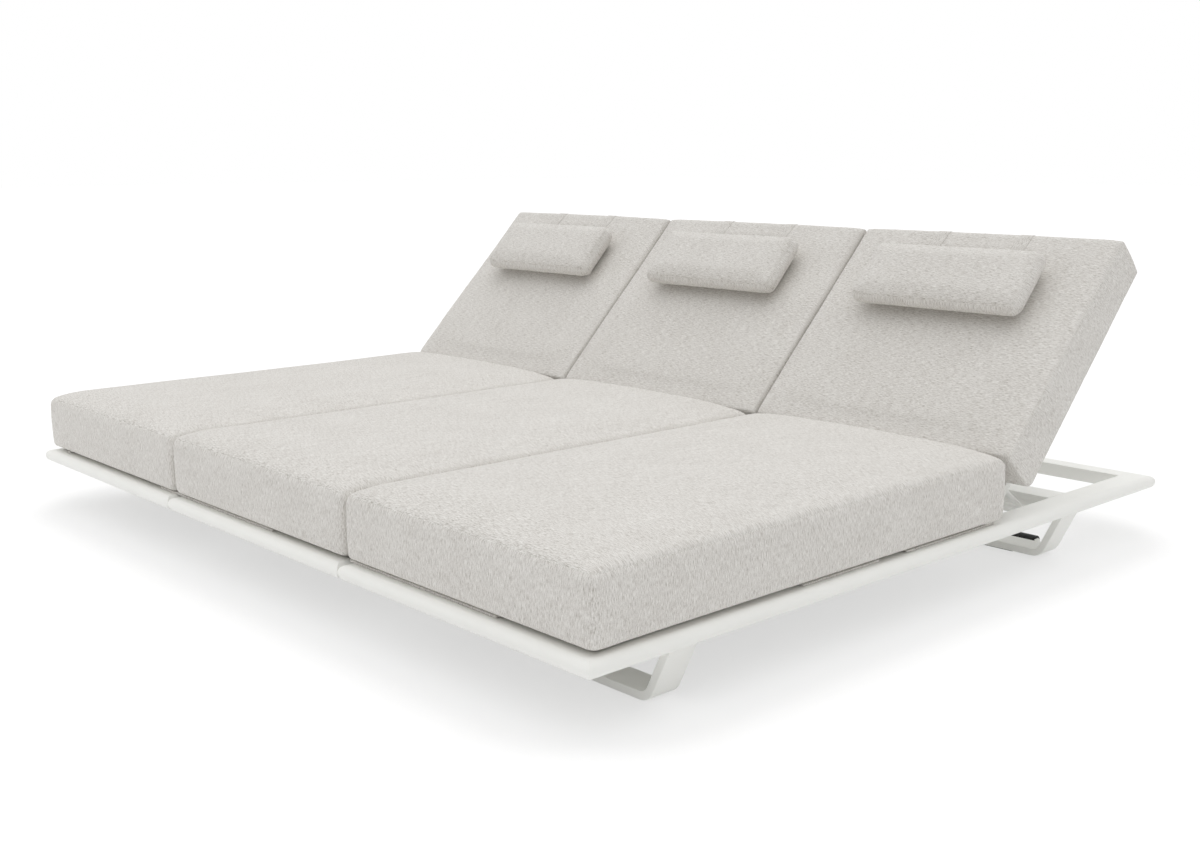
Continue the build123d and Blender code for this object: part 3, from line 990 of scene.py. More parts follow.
    def lay_cloth(self, piece: bpy.types.Object) -> None:
        """Gives the cover its UV map in metres, with the streaks across the panels and up the boxing.

        Args:
            piece: The cover in its own axes.
        """
        mesh = piece.data
        layer = mesh.uv_layers.new(name="cloth")
        corners = np.zeros(len(mesh.loops), np.int32)
        mesh.loops.foreach_get("vertex_index", corners)
        sizes = np.zeros(len(mesh.polygons), np.int32)
        mesh.polygons.foreach_get("loop_total", sizes)
        panel = np.repeat(np.arange(len(mesh.polygons)), sizes)
        middles, normals = (
            rows_of(mesh.polygons, key).astype(np.float32)[panel] for key in ("center", "normal"))
        point = points_of(mesh)[corners]
        upper, lower = self.seam_heights()
        flat = (middles[:, 2] > upper) | (middles[:, 2] < lower)
        sideways = np.abs(normals[:, 0]) > np.abs(normals[:, 1])
        boxing, side, each = self.panel_shift
        u = np.where(flat, point[:, 0], point[:, 2] + boxing)
        v = np.where(flat, point[:, 1], np.where(sideways, point[:, 1] + side, point[:, 0]))
        shift = each * self.seed
        layer.data.foreach_set("uv", np.stack([u + shift, v + shift], 1).astype(np.float32).ravel())

    def seam_cord(self, piece: bpy.types.Object, height: float, name: str) -> bpy.types.Object:
        """Runs a thin welt round the finished cover at one height.

        Args:
            piece: The finished cover, still in its own axes.
            height: The seam's height.
            name: The welt's name.

        Returns:
            The welt as a mesh in the same axes.
        """
        tree = BVHTree.FromObject(piece, bpy.context.evaluated_depsgraph_get())
        low, high, out = self.low, self.high, self.ray_room
        left, right = low.x + self.corner, high.x - self.corner
        foot, head = low.y + self.corner, high.y - self.corner
        sides = (
            ((left, low.y - out), (right, low.y - out), (0, 1)),
            ((high.x + out, foot), (high.x + out, head), (-1, 0)),
            ((right, high.y + out), (left, high.y + out), (0, -1)),
            ((low.x - out, head), (low.x - out, foot), (1, 0)),
        )
        line = []
        for number, (first, last, way) in enumerate(sides):
            start, end, inwards = Vector((*first, height)), Vector((*last, height)), Vector((*way, 0))
            following = Vector((*sides[(number + 1) % len(sides)][2], 0))
            count = max(2, round((end - start).length / self.welt_step))
            rays = [(start.lerp(end, share / count), inwards) for share in range(count + 1)]
            pivot = end + inwards * (out + self.corner)
            for turn in range(1, self.turn_steps):
                heading = inwards.lerp(following, turn / self.turn_steps).normalized()
                rays.append((pivot - heading * (out + self.corner), heading))
            for origin, heading in rays:
                if height > (low.z + high.z) / 2:
                    origin = origin + Vector((0, 0, self.lift(origin.y)))
                hit = tree.ray_cast(origin, heading, 0.5)
                if hit[0] is not None:
                    line.append(hit[0] - hit[1] * self.welt_sink)
        curve = bpy.data.curves.new(name, "CURVE")
        curve.dimensions = "3D"
        curve.bevel_depth = self.welt_radius
        curve.bevel_resolution = 1
        spline = curve.splines.new("POLY")
        spline.points.add(len(line) - 1)
        for point, place in zip(spline.points, line):
            point.co = (*place, 1)
        spline.use_cyclic_u = True
        cord = bpy.data.objects.new(name, curve)
        bpy.context.scene.collection.objects.link(cord)
        pick(cord)
        bpy.ops.object.convert(target="MESH")
        cord = bpy.context.object
        smooth(cord, 60)
        return cord

    def soften(self, piece: bpy.types.Object) -> None:
        """Smooths the cover, and the roll over the seam at its foot some more.

        Args:
            piece: The cover in its own axes.
        """
        soft = piece.modifiers.new("soft cloth", "SMOOTH")
        soft.factor, soft.iterations = 0.5, self.softening
        places = points_of(piece.data)
        roll = places[:, 2] > self.seam_heights()[0] - self.roll_depth
        roll &= np.minimum(*self.edge_gaps(places)) < self.roll_width
        roll &= places[:, 1] < self.low.y + self.roll_length
        chosen = [int(number) for number in np.nonzero(roll)[0]]
        piece.vertex_groups.new(name="roll").add(chosen, 1.0, "REPLACE")
        softer = piece.modifiers.new("soft roll", "SMOOTH")
        softer.factor, softer.iterations, softer.vertex_group = 0.5, self.roll_softening, "roll"
        apply_modifiers(piece)

    def build(self) -> bpy.types.Object:
        """Makes the finished cover in its own axes.

        Returns:
            The cover, with its seams and its UV map.
        """
        piece = self.shell()
        remesh = piece.modifiers.new("even cloth", "REMESH")
        remesh.mode = "VOXEL"
        remesh.voxel_size = self.voxel
        apply_modifiers(piece)
        set_points(piece.data, self.crown_shape(points_of(piece.data)))
        self.stuff(piece)
        self.soften(piece)
        self.keep_room(piece)
        self.cut_seam_lines(piece)
        self.draw_seams(piece)
        self.lay_cloth(piece)
        set_points(piece.data, self.fill_out(points_of(piece.data)))
        pick(piece)
        bpy.ops.object.shade_smooth()
        return piece

    def place(self, node: str, body: str, finishes: Finishes, fill: float) -> bpy.types.Object:
        """Builds the cushion and its welts, moves them to their place and settles them.

        Args:
            node: The CAD node that the cushion stands for.
            body: The body that it rides on.
            finishes: The lounger's finishes.
            fill: How tightly it is stuffed, from 0 to 1; not used.

        Returns:
            The cushion.
        """
        piece = self.build()
        welts = [self.seam_cord(piece, height, f"{self.name}_welt_{number}")
                 for number, height in enumerate(self.seam_heights())]
        for part in (piece, *welts):
            part.data.transform(self.axes)
        settle(piece, body, finishes.fabric, [node])
        for welt in welts:
            settle(welt, body, finishes.seam)
        return piece


@dataclass
class BedCushions:
    """The three cushions of one bed and the tapes of its pillow."""

    place: BedPlace
    number: int
    swell_room: float = 1 * MM
    head_swell: float = 5 * MM
    pillow_lift: float = 5 * MM
    tape_width: float = 40 * MM
    tape_thickness: float = 1.2 * MM
    tape_spread: float = 127 * MM
    tape_pivot: float = 110 * MM
    tape_degrees: range = range(-32, 101, 3)
    tape_gap: float = 0.4 * MM
    ray_start: float = 0.4

    def seat(self, finishes: Finishes) -> None:
        """Makes the seat cushion on the rails.

        Args:
            finishes: The lounger's finishes.
        """
        bed = self.place.name
        low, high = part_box(f"{bed}_seat_cushion")
        room = Vector((self.swell_room, self.swell_room, 0))
        cushion = BoxCushion(f"{bed}_seat_pad", low + room, high - room, Matrix.Identity(4),
                             seed=self.number + 1)
        cushion.place(f"{bed}_seat_cushion", "frame", finishes, 0.8)

    def back(self, finishes: Finishes) -> None:
        """Makes the back cushion on its tilted frame, and the two tapes over its top edge.

        Args:
            finishes: The lounger's finishes.
        """
        bed = self.place.name
        axes = self.place.back_axes()
        low, high = self.place.own_box(f"{bed}_back_cushion", axes)
        room = Vector((self.swell_room, self.swell_room, 0))
        proud = Vector((0, self.head_swell, 0))
        cushion = BoxCushion(
            f"{bed}_back_pad_cover", low + room, high - room + proud, axes, crown=14 * MM, roll_share=0.8,
            roll_reach=52 * MM, foot_reach=40 * MM, head_reach=26 * MM, corner=9 * MM, under_step=5 * MM,
            under_inset=14 * MM, tail_round=20 * MM, low_fullness=14 * MM, seed=self.number + 11)
        piece = cushion.place(f"{bed}_back_cushion", f"{bed}_back_pad", finishes, 0.8)
        self.tapes(piece, low, high, axes, finishes)

    def pillow(self, finishes: Finishes) -> None:
        """Makes the head pillow, just clear of the tapes that it moves along.

        Args:
            finishes: The lounger's finishes.
        """
        bed = self.place.name
        axes = self.place.back_axes()
        low, high = self.place.own_box(f"{bed}_pillow", axes)
        low.z += self.pillow_lift
        cushion = BoxCushion(
            f"{bed}_head_pillow", low, high, axes, crown=17 * MM, roll_share=0.8, roll_reach=42 * MM,
            foot_reach=36 * MM, head_reach=36 * MM, corner=30 * MM, under_step=27 * MM, under_inset=30 * MM,
            head_corner_share=1.0, voxel=4 * MM, stuffing_voxel=9 * MM, most_swell=3 * MM,
            groove_depth=1.0 * MM, welt_radius=0.35 * MM, bulge=6 * MM, softening=9, seed=self.number + 21)
        cushion.place(f"{bed}_pillow", f"{bed}_head_pad", finishes, 0.75)

    def tapes(self, cover: bpy.types.Object, low: Vector, high: Vector, axes: Matrix,
              finishes: Finishes) -> None:
        """Lays the two tapes over the top edge of a finished back cover.

        Args:
            cover: The back cover in its place.
            low: The back cushion's lowest corner in the back's axes.
            high: Its highest corner.
            axes: The matrix from the back's axes to the object.
            finishes: The lounger's finishes.
        """
        bed = self.place.name
        tree = BVHTree.FromObject(cover, bpy.context.evaluated_depsgraph_get())
        inverse = axes.inverted()
        centre = Vector((0, high.y - self.tape_pivot, (low.z + high.z) / 2))
        strips = []
        for side in Side:
            middle = side.value * self.tape_spread
            rows = []
            for degree in self.tape_degrees:
                heading = Vector((0, cos(radians(degree)), sin(radians(degree))))
                row = []
                for share in (-1, -0.5, 0, 0.5, 1):
                    origin = centre + heading * self.ray_start
                    origin.x = middle + share * self.tape_width / 2
                    hit = tree.ray_cast(axes @ origin, axes.to_3x3() @ -heading, 1.0)
                    if hit[0] is not None:
                        row.append(inverse @ hit[0] + heading * self.tape_gap)
                if len(row) == 5:
                    rows.append(row)
            strips.append(self.strip(f"{bed}_tape_{side.name.lower()}", rows))
        tape = join(strips, f"{bed}_pillow_tapes_sewn")
        tape.data.transform(axes)
        settle(tape, f"{bed}_back_pad", finishes.tape, [f"{bed}_pillow_tapes"])

    def strip(self, name: str, rows: Sequence[Sequence[Vector]]) -> bpy.types.Object:
        """Makes one tape from rows of points across it.

        Args:
            name: The tape's name.
            rows: Its rows, each from one edge to the other.

        Returns:
            The tape, with its thickness, soft edges and UV map.
        """
        mesh = bpy.data.meshes.new(name)
        across = len(rows[0])
        faces = [(r * across + c, r * across + c + 1, (r + 1) * across + c + 1, (r + 1) * across + c)
                 for r in range(len(rows) - 1) for c in range(across - 1)]
        mesh.from_pydata([point for row in rows for point in row], [], faces)
        layer = mesh.uv_layers.new(name="cloth")
        run = [0.0]
        for near, far in zip(rows, rows[1:]):
            run.append(run[-1] + (far[0] - near[0]).length)
        for loop in mesh.loops:
            row, column = divmod(loop.vertex_index, across)
            layer.data[loop.index].uv = (run[row], column / (across - 1) * self.tape_width)
        piece = bpy.data.objects.new(name, mesh)
        bpy.context.scene.collection.objects.link(piece)
        with editing(piece):
            bpy.ops.mesh.select_all(action="SELECT")
            bpy.ops.mesh.normals_make_consistent(inside=False)
        thick = piece.modifiers.new("thickness", "SOLIDIFY")
        thick.thickness = self.tape_thickness
        thick.offset = 1.0
        apply_modifiers(piece)
        smooth(piece, 40)
        return piece


# Metal frame


@dataclass
class BedFrame:
    """The welded frame of one bed: four mitred rails, two cross members and two sled feet."""

    place: BedPlace
    rail_facets: int = 10
    inner_edge: float = 1.5 * MM
    inner_from: float = 40 * MM
    foot_bar: float = 18 * MM
    foot_bend: float = 40 * MM
    foot_lean: float = radians(25)
    leg_stock: float = 160 * MM
    tie_bar: float = 15 * MM
    tie_gap: float = 4 * MM
    tie_let: float = 2 * MM
    bar_edge: float = 1.6 * MM
    cross_groove: float = 1 * MM
    groove_depth: float = 1 * MM

    def rail(self, node: str, mitres: Sequence[tuple[Vector, Vector]], outer: int, outer_high: bool,
             finishes: Finishes) -> None:
        """Models one rail: a bar with a round outer edge, cut at its mitres.

        Args:
            node: The CAD node that the rail stands for.
            mitres: A point and an outward normal for each mitre.
            outer: The axis that the round edge faces, 0 for X and 1 for Y.
            outer_high: Whether the round edge is the one on the high side of that axis.
            finishes: The lounger's finishes.
        """
        low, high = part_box(node)
        piece = start_block(f"{node}_bar", low, high)
        edge = high[outer] if outer_high else low[outer]
        along = 1 - outer
        with editing(piece):
            choose_edges(piece, lambda a, b: abs(a[outer] - edge) < MM and abs(b[outer] - edge) < MM
                         and abs(a[along] - b[along]) > MM)
            bevel((high.z - low.z) / 2 - 0.01 * MM, self.rail_facets)
            choose_edges(piece, lambda a, b: min(abs(a[outer] - edge), abs(b[outer] - edge)) > self.inner_from
                         and abs(a[along] - b[along]) > MM)
            bevel(self.inner_edge, 3)
            for point, normal in mitres:
                bpy.ops.mesh.select_all(action="SELECT")
                bpy.ops.mesh.bisect(plane_co=point, plane_no=normal, use_fill=True, clear_outer=True)
        face_outwards(piece)
        smooth(piece)
        settle(piece, "frame", finishes.coat, [node])

    def rails(self, finishes: Finishes) -> None:
        """Models the four rails of the bed.

        Args:
            finishes: The lounger's finishes.
        """
        bed = self.place.name
        low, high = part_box(f"{bed}_side_rail_left")[0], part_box(f"{bed}_side_rail_right")[1]
        corners = {
            (-1, -1): Vector((low.x, low.y, low.z)), (1, -1): Vector((high.x, low.y, low.z)),
            (-1, 1): Vector((low.x, high.y, low.z)), (1, 1): Vector((high.x, high.y, low.z)),
        }
        for side in Side:
            cuts = [(corners[(side.value, end)], Vector((-side.value, end, 0)).normalized())
                    for end in (-1, 1)]
            self.rail(f"{bed}_side_rail_{side.name.lower()}", cuts, 0, side is Side.RIGHT, finishes)
        for end, name in ((-1, "foot"), (1, "head")):
            cuts = [(corners[(side, end)], Vector((side, -end, 0)).normalized()) for side in (-1, 1)]
            self.rail(f"{bed}_{name}_rail", cuts, 1, end > 0, finishes)

    def cross_members(self, finishes: Finishes) -> None:
        """Models the two cross members, each with a shadow groove round its middle."""
        for end in ("front", "rear"):
            node = f"{self.place.name}_{end}_cross_member"
            low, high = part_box(node)
            piece = start_block(f"{node}_bar", low, high)
            middle, half = (low.z + high.z) / 2, self.cross_groove / 2
            with editing(piece):
                choose_edges(piece, lambda a, b: abs(a.x - b.x) > MM)
                bevel(self.inner_edge, 3)
                for height in (middle - half, middle + half):
                    bpy.ops.mesh.select_all(action="SELECT")
                    bpy.ops.mesh.bisect(plane_co=(0, 0, height), plane_no=(0, 0, 1))
                for way in (-1, 1):
                    choose_faces(piece, lambda place, normal: normal.y * way > 0.9
                                 and abs(place.z - middle) < half)
                    bpy.ops.mesh.extrude_region_move(
                        TRANSFORM_OT_translate={"value": (0, -way * self.groove_depth, 0)})
            face_outwards(piece)
            smooth(piece)
            settle(piece, "frame", finishes.coat, [node])

    def foot(self, end: str, finishes: Finishes) -> None:
        """Models a sled foot: a flat bar bent up at both ends, and the tie bar between its legs.

        Args:
            end: "front" or "rear".
            finishes: The lounger's finishes.
        """
        node = f"{self.place.name}_{end}_foot"
        low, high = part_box(node)
        centre = (low.x + high.x) / 2
        reach = (high.x - centre) - (high.z - low.z) * tan(self.foot_lean)
        turn = pi / 2 - self.foot_lean
        flat = reach - self.foot_bend * tan(turn / 2)
        bend = Vector((centre + flat, 0, low.z + self.foot_bend))
        bar = start_block(f"{node}_flat", (centre, low.y, low.z),
                          (centre + flat, high.y, low.z + self.foot_bar))
        with editing(bar):
            choose_faces(bar, lambda middle, normal: normal.x > 0.9)
            bpy.ops.mesh.spin(steps=10, angle=turn, center=bend, axis=(0, 1, 0))
            heading = Vector((sin(self.foot_lean), 0, cos(self.foot_lean)))
            bpy.ops.mesh.extrude_region_move(TRANSFORM_OT_translate={"value": heading * self.leg_stock})
            bpy.ops.mesh.select_all(action="SELECT")
            bpy.ops.mesh.bisect(plane_co=(0, 0, high.z), plane_no=(0, 0, 1), use_fill=True, clear_outer=True)
            choose_faces(bar, lambda middle, normal: normal.x < -0.9 and abs(middle.x - centre) < MM)
            bpy.ops.mesh.delete(type="FACE")
        mirror = Matrix.Translation((2 * centre, 0, 0)) @ Matrix.Scale(-1, 4, (1, 0, 0))
        halves = [bar, copy_piece(bar, f"{node}_other_half", mirror)]
        whole = join(halves, f"{node}_bent_bar")
        face_outwards(whole)
        tie_top = high.z - self.tie_gap
        inset = self.foot_bar / cos(self.foot_lean) - self.tie_let

        def leg(height: float) -> float:
            """Half the length of a tie between the legs at a height, with the bit let into each."""
            return reach + (height - low.z) * tan(self.foot_lean) - inset

        tie = start_block(f"{node}_tie", (centre - leg(tie_top), low.y, tie_top - self.tie_bar),
                          (centre + leg(tie_top), high.y, tie_top))
        with editing(tie):
            for way in (-1, 1):
                choose_edges(tie, lambda a, b: max(a.z, b.z) < tie_top - MM and abs(a.x - b.x) < MM
                             and (a.x - centre) * way > 0)
                bpy.ops.transform.translate(value=(way * (leg(tie_top - self.tie_bar) - leg(tie_top)), 0, 0))
        foot = join([whole, tie], f"{node}_sled")
        soften_edges(foot, self.bar_edge, 3, 50)
        smooth(foot)
        settle(foot, "frame", finishes.coat, [node])

    def build(self, finishes: Finishes) -> None:
        """Models every welded piece of the bed's frame.

        Args:
            finishes: The lounger's finishes.
        """
        self.rails(finishes)
        self.cross_members(finishes)
        self.foot("front", finishes)
        self.foot("rear", finishes)


@dataclass
class PropStay:
    """The prop stay of one bed: two round arms with flat eyes and a round cross bar."""

    place: BedPlace
    bar_radius: float = 7 * MM
    eye_radius: float = 10 * MM
    pin_radius: float = 4.3 * MM
    bead: float = 1.6 * MM
    eye_edge: float = 0.8 * MM
    arm_let: float = 2 * MM

    def build(self, finishes: Finishes) -> None:
        """Models the stay where its CAD node stands.

        Args:
            finishes: The lounger's finishes.
        """
        bed = self.place.name
        node = f"{bed}_prop_stay"
        joint = next(j for j in frame["joints"] if j["name"] == f"{bed}_stay_hinge")
        pivot = Vector(joint["pos_m"])
        places = points_of(frame["nodes"][node].data)
        low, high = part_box(node)
        foot = places[places[:, 0] > high.x - MM].mean(0)
        foot = Vector((pivot.x, foot[1], foot[2]))
        near_pivot = places[np.hypot(places[:, 1] - pivot.y, places[:, 2] - pivot.z) < self.eye_radius * 1.2]
        arm_out = np.abs(near_pivot[:, 0] - pivot.x).max() - self.bar_radius
        parts = [start_rod(f"{node}_bar", Vector((low.x, foot.y, foot.z)), Vector((high.x, foot.y, foot.z)),
                           self.bar_radius)]
        with editing(parts[0]):
            choose_edges(parts[0], lambda a, b: abs(a.x - b.x) < 0.1 * MM)
            bevel(self.bead, 3)
        way = (foot - pivot).normalized()
        for side in Side:
            x = pivot.x + side.value * arm_out
            top = Vector((x, pivot.y, pivot.z)) + way * (self.eye_radius - self.arm_let)
            parts.append(start_rod(f"{node}_arm", top, Vector((x, foot.y, foot.z)), self.bar_radius))
            eye = start_rod(f"{node}_eye", Vector((x - self.bar_radius, pivot.y, pivot.z)),
                            Vector((x + self.bar_radius, pivot.y, pivot.z)), self.eye_radius, 40)
            with editing(eye):
                choose_faces(eye, lambda middle, normal: abs(normal.x) > 0.9)
                bpy.ops.mesh.inset(thickness=self.eye_radius - self.pin_radius)
                bpy.ops.mesh.bridge_edge_loops()
            soften_edges(eye, self.eye_edge, 2)
            parts.append(eye)
        stay = join(parts, f"{node}_bent")
        smooth(stay)
        settle(stay, f"{bed}_stay", finishes.coat, [node])


@dataclass
class TransportRoller:
    """One transport roller: a rubber tyre with a recessed hub face and rounded shoulders."""

    place: BedPlace
    side: Side
    shoulder: float = 2 * MM
    hub_radius: float = 8 * MM
    hub_edge: float = 0.8 * MM
    hub_depth: float = 1.5 * MM
    bore_radius: float = 3.3 * MM

    def build(self, finishes: Finishes) -> None:
        """Models the roller where its CAD node stands.

        Args:
            finishes: The lounger's finishes.
        """
        which = self.side.name.lower()
        node = f"{self.place.name}_roller_{which}"
        low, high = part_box(node)
        middle, radius = (low + high) / 2, (high.z - low.z) / 2
        tyre = start_rod(f"{node}_tyre", Vector((low.x, middle.y, middle.z)),
                         Vector((high.x, middle.y, middle.z)), radius, 64)
        with editing(tyre):
            choose_edges(tyre, lambda a, b: abs(a.x - b.x) < 0.1 * MM)
            bevel(self.shoulder, 4)
            choose_faces(tyre, lambda place, normal: abs(normal.x) > 0.99
                         and abs(place.x - middle.x) > 10 * MM)
            bpy.ops.mesh.inset(thickness=radius - self.shoulder - self.hub_radius)
            bpy.ops.mesh.inset(thickness=self.hub_edge, depth=-self.hub_depth)
            bpy.ops.mesh.inset(thickness=self.hub_radius - self.hub_edge - self.bore_radius)
            bpy.ops.mesh.bridge_edge_loops()
        face_outwards(tyre)
        smooth(tyre)
        settle(tyre, f"{self.place.name}_wheel_{which}", finishes.rubber, [node])


@dataclass
class Fittings:
    """Everything under the cushions and feet that the three beds share, and the decks and back frames."""

    edge: float = 0.8 * MM
    glide_edge: float = 1.2 * MM

    def build(self, finishes: Finishes) -> None:
        """Softens the edges of the fittings and gives each its finish.

        Args:
            finishes: The lounger's finishes.
        """
        for bed in BEDS:
            for node, body in ((f"{bed}_seat_deck", "frame"), (f"{bed}_back_frame", f"{bed}_backrest")):
                piece = softened_copy(node, f"{node}_welded", self.edge)
                settle(piece, body, finishes.coat, [node])
        for node in ("roller_brackets", "hinge_lugs", "stay_racks", "link_plates"):
            piece = softened_copy(node, f"{node}_pressed", self.edge)
            settle(piece, "frame", finishes.coat, [node])
        for node in ("hinge_pins", "lug_screws", "link_bolts"):
            piece = softened_copy(node, f"{node}_turned", 0.5 * self.edge)
            settle(piece, "frame", finishes.steel, [node])
        glides = softened_copy("foot_glides", "foot_glides_moulded", self.glide_edge, 3)
        settle(glides, "frame", finishes.plastic, ["foot_glides"])


@dataclass
class UnderStrips:
    """Strips of the same cloth that hang below the seat cushions onto the rails.

    Runs and waves are in millimetres.
    """

    front_runs: tuple[tuple[float, float], ...] = ((-502, 73), (400, 905))
    side_runs: tuple[tuple[float, float], ...] = ((-430, -176), (-75, 273))
    stub_run: tuple[float, float] = (-1112, -1094)
    inset: float = 17 * MM
    depth: float = 12 * MM
    height: float = 5.5 * MM
    above_rail: float = 0.1 * MM
    edge: float = 2 * MM
    cut_spacing: float = 12 * MM
    wave: float = 0.5 * MM
    wave_lengths: tuple[float, float] = (83, 57)

    def strip(self, name: str, low: Vector, high: Vector, finishes: Finishes) -> None:
        """Models one strip with soft edges and its cloth map.

        Args:
            name: The strip's name.
            low: Its lowest corner.
            high: Its highest corner.
            finishes: The lounger's finishes.
        """
        piece = start_block(name, low, high)
        long_axis = 0 if high.x - low.x > high.y - low.y else 1
        with editing(piece):
            cuts = max(2, round((high[long_axis] - low[long_axis]) / self.cut_spacing))
            choose_edges(piece, lambda a, b: abs(a[long_axis] - b[long_axis]) > MM)
            bpy.ops.mesh.subdivide(number_cuts=cuts)
        soften_edges(piece, self.edge, 3, 50)
        places = points_of(piece.data)
        run = places[:, long_axis]
        slow, fast = (2 * pi * run / (length * MM) for length in self.wave_lengths)
        places[:, 1 - long_axis] += (np.sin(slow) + np.sin(fast + 1.3)) * self.wave
        set_points(piece.data, places)
        layer = piece.data.uv_layers.new(name="cloth")
        for loop in piece.data.loops:
            point = places[loop.vertex_index]
            layer.data[loop.index].uv = (point[2] + point[1 - long_axis], point[long_axis])
        smooth(piece, 60)
        settle(piece, "frame", finishes.fabric)

    def build(self, finishes: Finishes) -> None:
        """Models the strips along the foot end and the right-hand side.

        Args:
            finishes: The lounger's finishes.
        """
        low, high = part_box("left_seat_cushion")[0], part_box("right_seat_cushion")[1]
        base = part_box("left_foot_rail")[1].z + self.above_rail
        near = low.y + self.inset
        for number, (start, end) in enumerate((*self.front_runs, self.stub_run)):
            self.strip(f"front_under_strip_{number}", Vector((start * MM, near, base)),
                       Vector((end * MM, near + self.depth, base + self.height)), finishes)
        far = high.x - self.inset
        for number, (start, end) in enumerate(self.side_runs):
            self.strip(f"side_under_strip_{number}", Vector((far - self.depth, start * MM, base)),
                       Vector((far, end * MM, base + self.height)), finishes)


# Studio


@dataclass(frozen=True)
class PhotoCamera:
    """The camera solved from the straight edges of the frame in the photograph."""

    place: tuple[float, float, float] = (2.86186, -2.54721, 1.02077)
    azimuth: float = 47.31
    pitch: float = 11.37
    roll: float = -0.05
    focal_pixels: float = 1381.55
    sensor_width: float = 36.0

    def build(self) -> None:
        """Adds the camera and makes it the scene's own."""
        data = bpy.data.cameras.new("photo_camera")
        data.sensor_fit = "HORIZONTAL"
        data.sensor_width = self.sensor_width
        data.lens = self.focal_pixels / PHOTO_WIDTH * self.sensor_width
        data.clip_end = 100
        camera = bpy.data.objects.new("photo_camera", data)
        bpy.context.scene.collection.objects.link(camera)
        camera.location = self.place
        turn = Euler((radians(90 - self.pitch), 0, radians(self.azimuth)), "XYZ").to_matrix()
        camera.rotation_euler = (turn @ Euler((0, 0, radians(self.roll))).to_matrix()).to_euler()
        bpy.context.scene.camera = camera


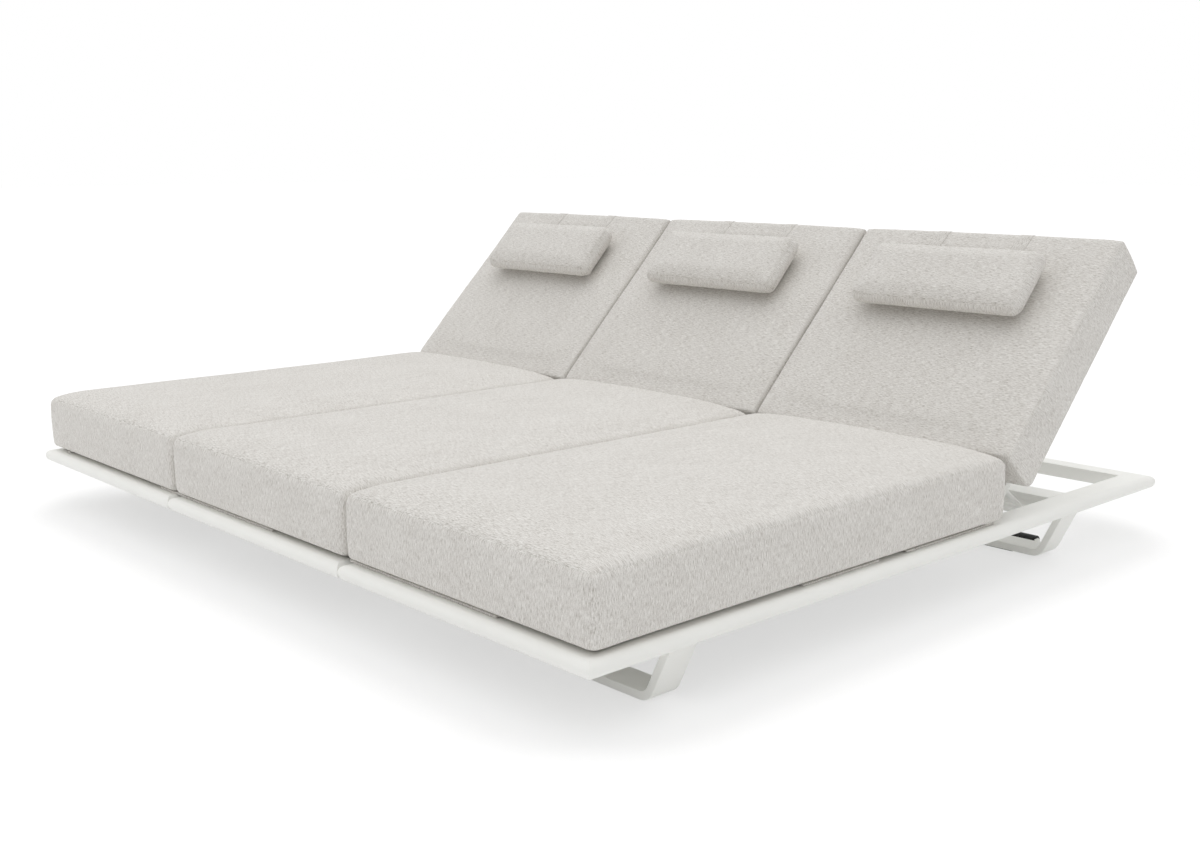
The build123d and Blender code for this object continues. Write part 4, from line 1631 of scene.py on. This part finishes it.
@dataclass(frozen=True)
class Studio:
    """A white floor that throws light up and carries a painted shadow round the beds, a surround that is
    brightest overhead, and one weak fill light.
    """

    top_sky: float = 1.5
    floor_light: float = 0.15
    floor_white: float = 0.85
    floor_shade: float = 0.42
    # The next six values paint a shadow on the floor: the camera sees less glow (near_glow) in a soft rounded
    # rectangle round the beds than beyond it (far_glow).
    near_glow: float = 0.535
    far_glow: float = 0.66
    painted_shadow_centre: tuple[float, float, float] = (0.02, -0.01, 0.0)
    painted_shadow_half: tuple[float, float, float] = (0.97, 0.81, 0.0)
    fade_from: float = 0.25
    fade_to: float = 0.42
    floor_size: float = 80.0
    fill_place: tuple[float, float, float] = (-3.0, -4.0, 1.2)
    fill_target: tuple[float, float, float] = (0.0, 0.0, 0.2)
    fill_size: float = 2.5
    fill_energy: float = 9.0

    def fill_light(self) -> None:
        """Adds a square soft light in front and to the left, which looks at the middle of the beds."""
        data = bpy.data.lights.new("fill_light", "AREA")
        data.shape, data.size, data.energy = "SQUARE", self.fill_size, self.fill_energy
        lamp = bpy.data.objects.new("fill_light", data)
        bpy.context.scene.collection.objects.link(lamp)
        lamp.location = self.fill_place
        sight = Vector(self.fill_target) - Vector(self.fill_place)
        lamp.rotation_euler = sight.to_track_quat("-Z", "Y").to_euler()

    def sky(self) -> None:
        """Lights the object from above, and shows as pure white to the camera and in reflections."""
        world = bpy.data.worlds.new("white_surround")
        bpy.context.scene.world = world
        world.use_nodes = True
        tree = world.node_tree
        tree.nodes.clear()
        rays = add_node(tree, "ShaderNodeLightPath")
        seen = rays.outputs["Is Camera Ray"]
        for kind in ("Is Glossy Ray", "Is Transmission Ray"):
            seen = add_node(tree, "ShaderNodeMath", {"operation": "MAXIMUM"},
                            {0: seen, 1: rays.outputs[kind]}).outputs[0]
        heading = add_node(tree, "ShaderNodeTexCoord").outputs["Generated"]
        height = add_node(tree, "ShaderNodeVectorMath", {"operation": "DOT_PRODUCT", 1: (0, 0, 1)},
                          {0: heading})
        level = add_node(tree, "ShaderNodeMath", {"operation": "MULTIPLY", 1: self.top_sky},
                         {0: height.outputs["Value"]})
        above = add_node(tree, "ShaderNodeMath", {"operation": "MAXIMUM", 1: 0.0}, {0: level.outputs[0]})
        light = add_node(tree, "ShaderNodeBackground", {"Color": (1, 1, 1, 1)},
                         {"Strength": above.outputs[0]})
        white = add_node(tree, "ShaderNodeBackground", {"Color": (1, 1, 1, 1), "Strength": 1.0})
        mix = add_node(tree, "ShaderNodeMixShader", links={
            0: seen, 1: light.outputs["Background"], 2: white.outputs["Background"]})
        add_node(tree, "ShaderNodeOutputWorld", links={"Surface": mix.outputs["Shader"]})

    def floor(self) -> None:
        """Adds the white floor, which keeps the object's shadow and is pure white away from the object. Round
        the beds the camera sees less glow, a painted shadow in a soft rounded rectangle.
        """
        deselect_all()
        bpy.ops.mesh.primitive_plane_add(size=self.floor_size, location=(0, 0, -0.2 * MM))
        floor = bpy.context.object
        floor.name = "studio_floor"
        paper = bpy.data.materials.new("white_paper")
        paper.use_nodes = True
        tree = paper.node_tree
        tree.nodes.clear()
        rays = add_node(tree, "ShaderNodeLightPath")
        place = add_node(tree, "ShaderNodeTexCoord").outputs["Object"]
        # Painted shadow: the glow that the camera sees is lowest inside a rounded rectangle round the beds and
        # rises to far_glow beyond it.
        centred = add_node(tree, "ShaderNodeVectorMath", {"operation": "SUBTRACT", 1: self.painted_shadow_centre},
                           {0: place})
        one_corner = add_node(tree, "ShaderNodeVectorMath", {"operation": "ABSOLUTE"},
                              {0: centred.outputs["Vector"]})
        beyond = add_node(tree, "ShaderNodeVectorMath", {"operation": "SUBTRACT", 1: self.painted_shadow_half},
                          {0: one_corner.outputs["Vector"]})
        outside = add_node(tree, "ShaderNodeVectorMath", {"operation": "MAXIMUM", 1: (0, 0, 0)},
                           {0: beyond.outputs["Vector"]})
        away = add_node(tree, "ShaderNodeVectorMath", {"operation": "LENGTH"}, {0: outside.outputs["Vector"]})
        strength = add_node(tree, "ShaderNodeMapRange", {
            "interpolation_type": "SMOOTHSTEP", "From Min": self.fade_from, "From Max": self.fade_to,
            "To Min": self.near_glow, "To Max": self.far_glow}, {"Value": away.outputs["Value"]})
        paper_white = add_node(tree, "ShaderNodeBsdfDiffuse", {"Color": (*[self.floor_white] * 3, 1)})
        thrown = add_node(tree, "ShaderNodeEmission", {"Color": (1, 1, 1, 1), "Strength": self.floor_light})
        unseen = add_node(tree, "ShaderNodeAddShader",
                          links={0: paper_white.outputs["BSDF"], 1: thrown.outputs["Emission"]})
        seen_white = add_node(tree, "ShaderNodeBsdfDiffuse", {"Color": (*[self.floor_shade] * 3, 1)})
        glow = add_node(tree, "ShaderNodeEmission", {"Color": (1, 1, 1, 1)},
                        {"Strength": strength.outputs["Result"]})
        lit = add_node(tree, "ShaderNodeAddShader",
                       links={0: seen_white.outputs["BSDF"], 1: glow.outputs["Emission"]})
        mix = add_node(tree, "ShaderNodeMixShader", links={
            0: rays.outputs["Is Camera Ray"], 1: unseen.outputs["Shader"], 2: lit.outputs["Shader"]})
        add_node(tree, "ShaderNodeOutputMaterial", links={"Surface": mix.outputs["Shader"]})
        floor.data.materials.append(paper)

    def build(self) -> None:
        """Builds the floor, the surround and the fill light."""
        self.sky()
        self.floor()
        self.fill_light()
        bpy.context.scene.view_settings.view_transform = "Standard"


def main() -> None:
    """Builds the lounger's looks in order and reports each piece."""
    logging.basicConfig(level=logging.INFO, format="%(name)s: %(message)s", stream=sys.stdout)
    PhotoCamera().build()
    finishes = Finishes()
    for number, bed in enumerate(BEDS):
        place = BedPlace.of(bed)
        BedFrame(place).build(finishes)
        PropStay(place).build(finishes)
        for side in Side:
            TransportRoller(place, side).build(finishes)
        cushions = BedCushions(place, number)
        cushions.seat(finishes)
        cushions.back(finishes)
        cushions.pillow(finishes)
    Fittings().build(finishes)
    UnderStrips().build(finishes)
    Studio().build()


if __name__ == "__main__":
    main()
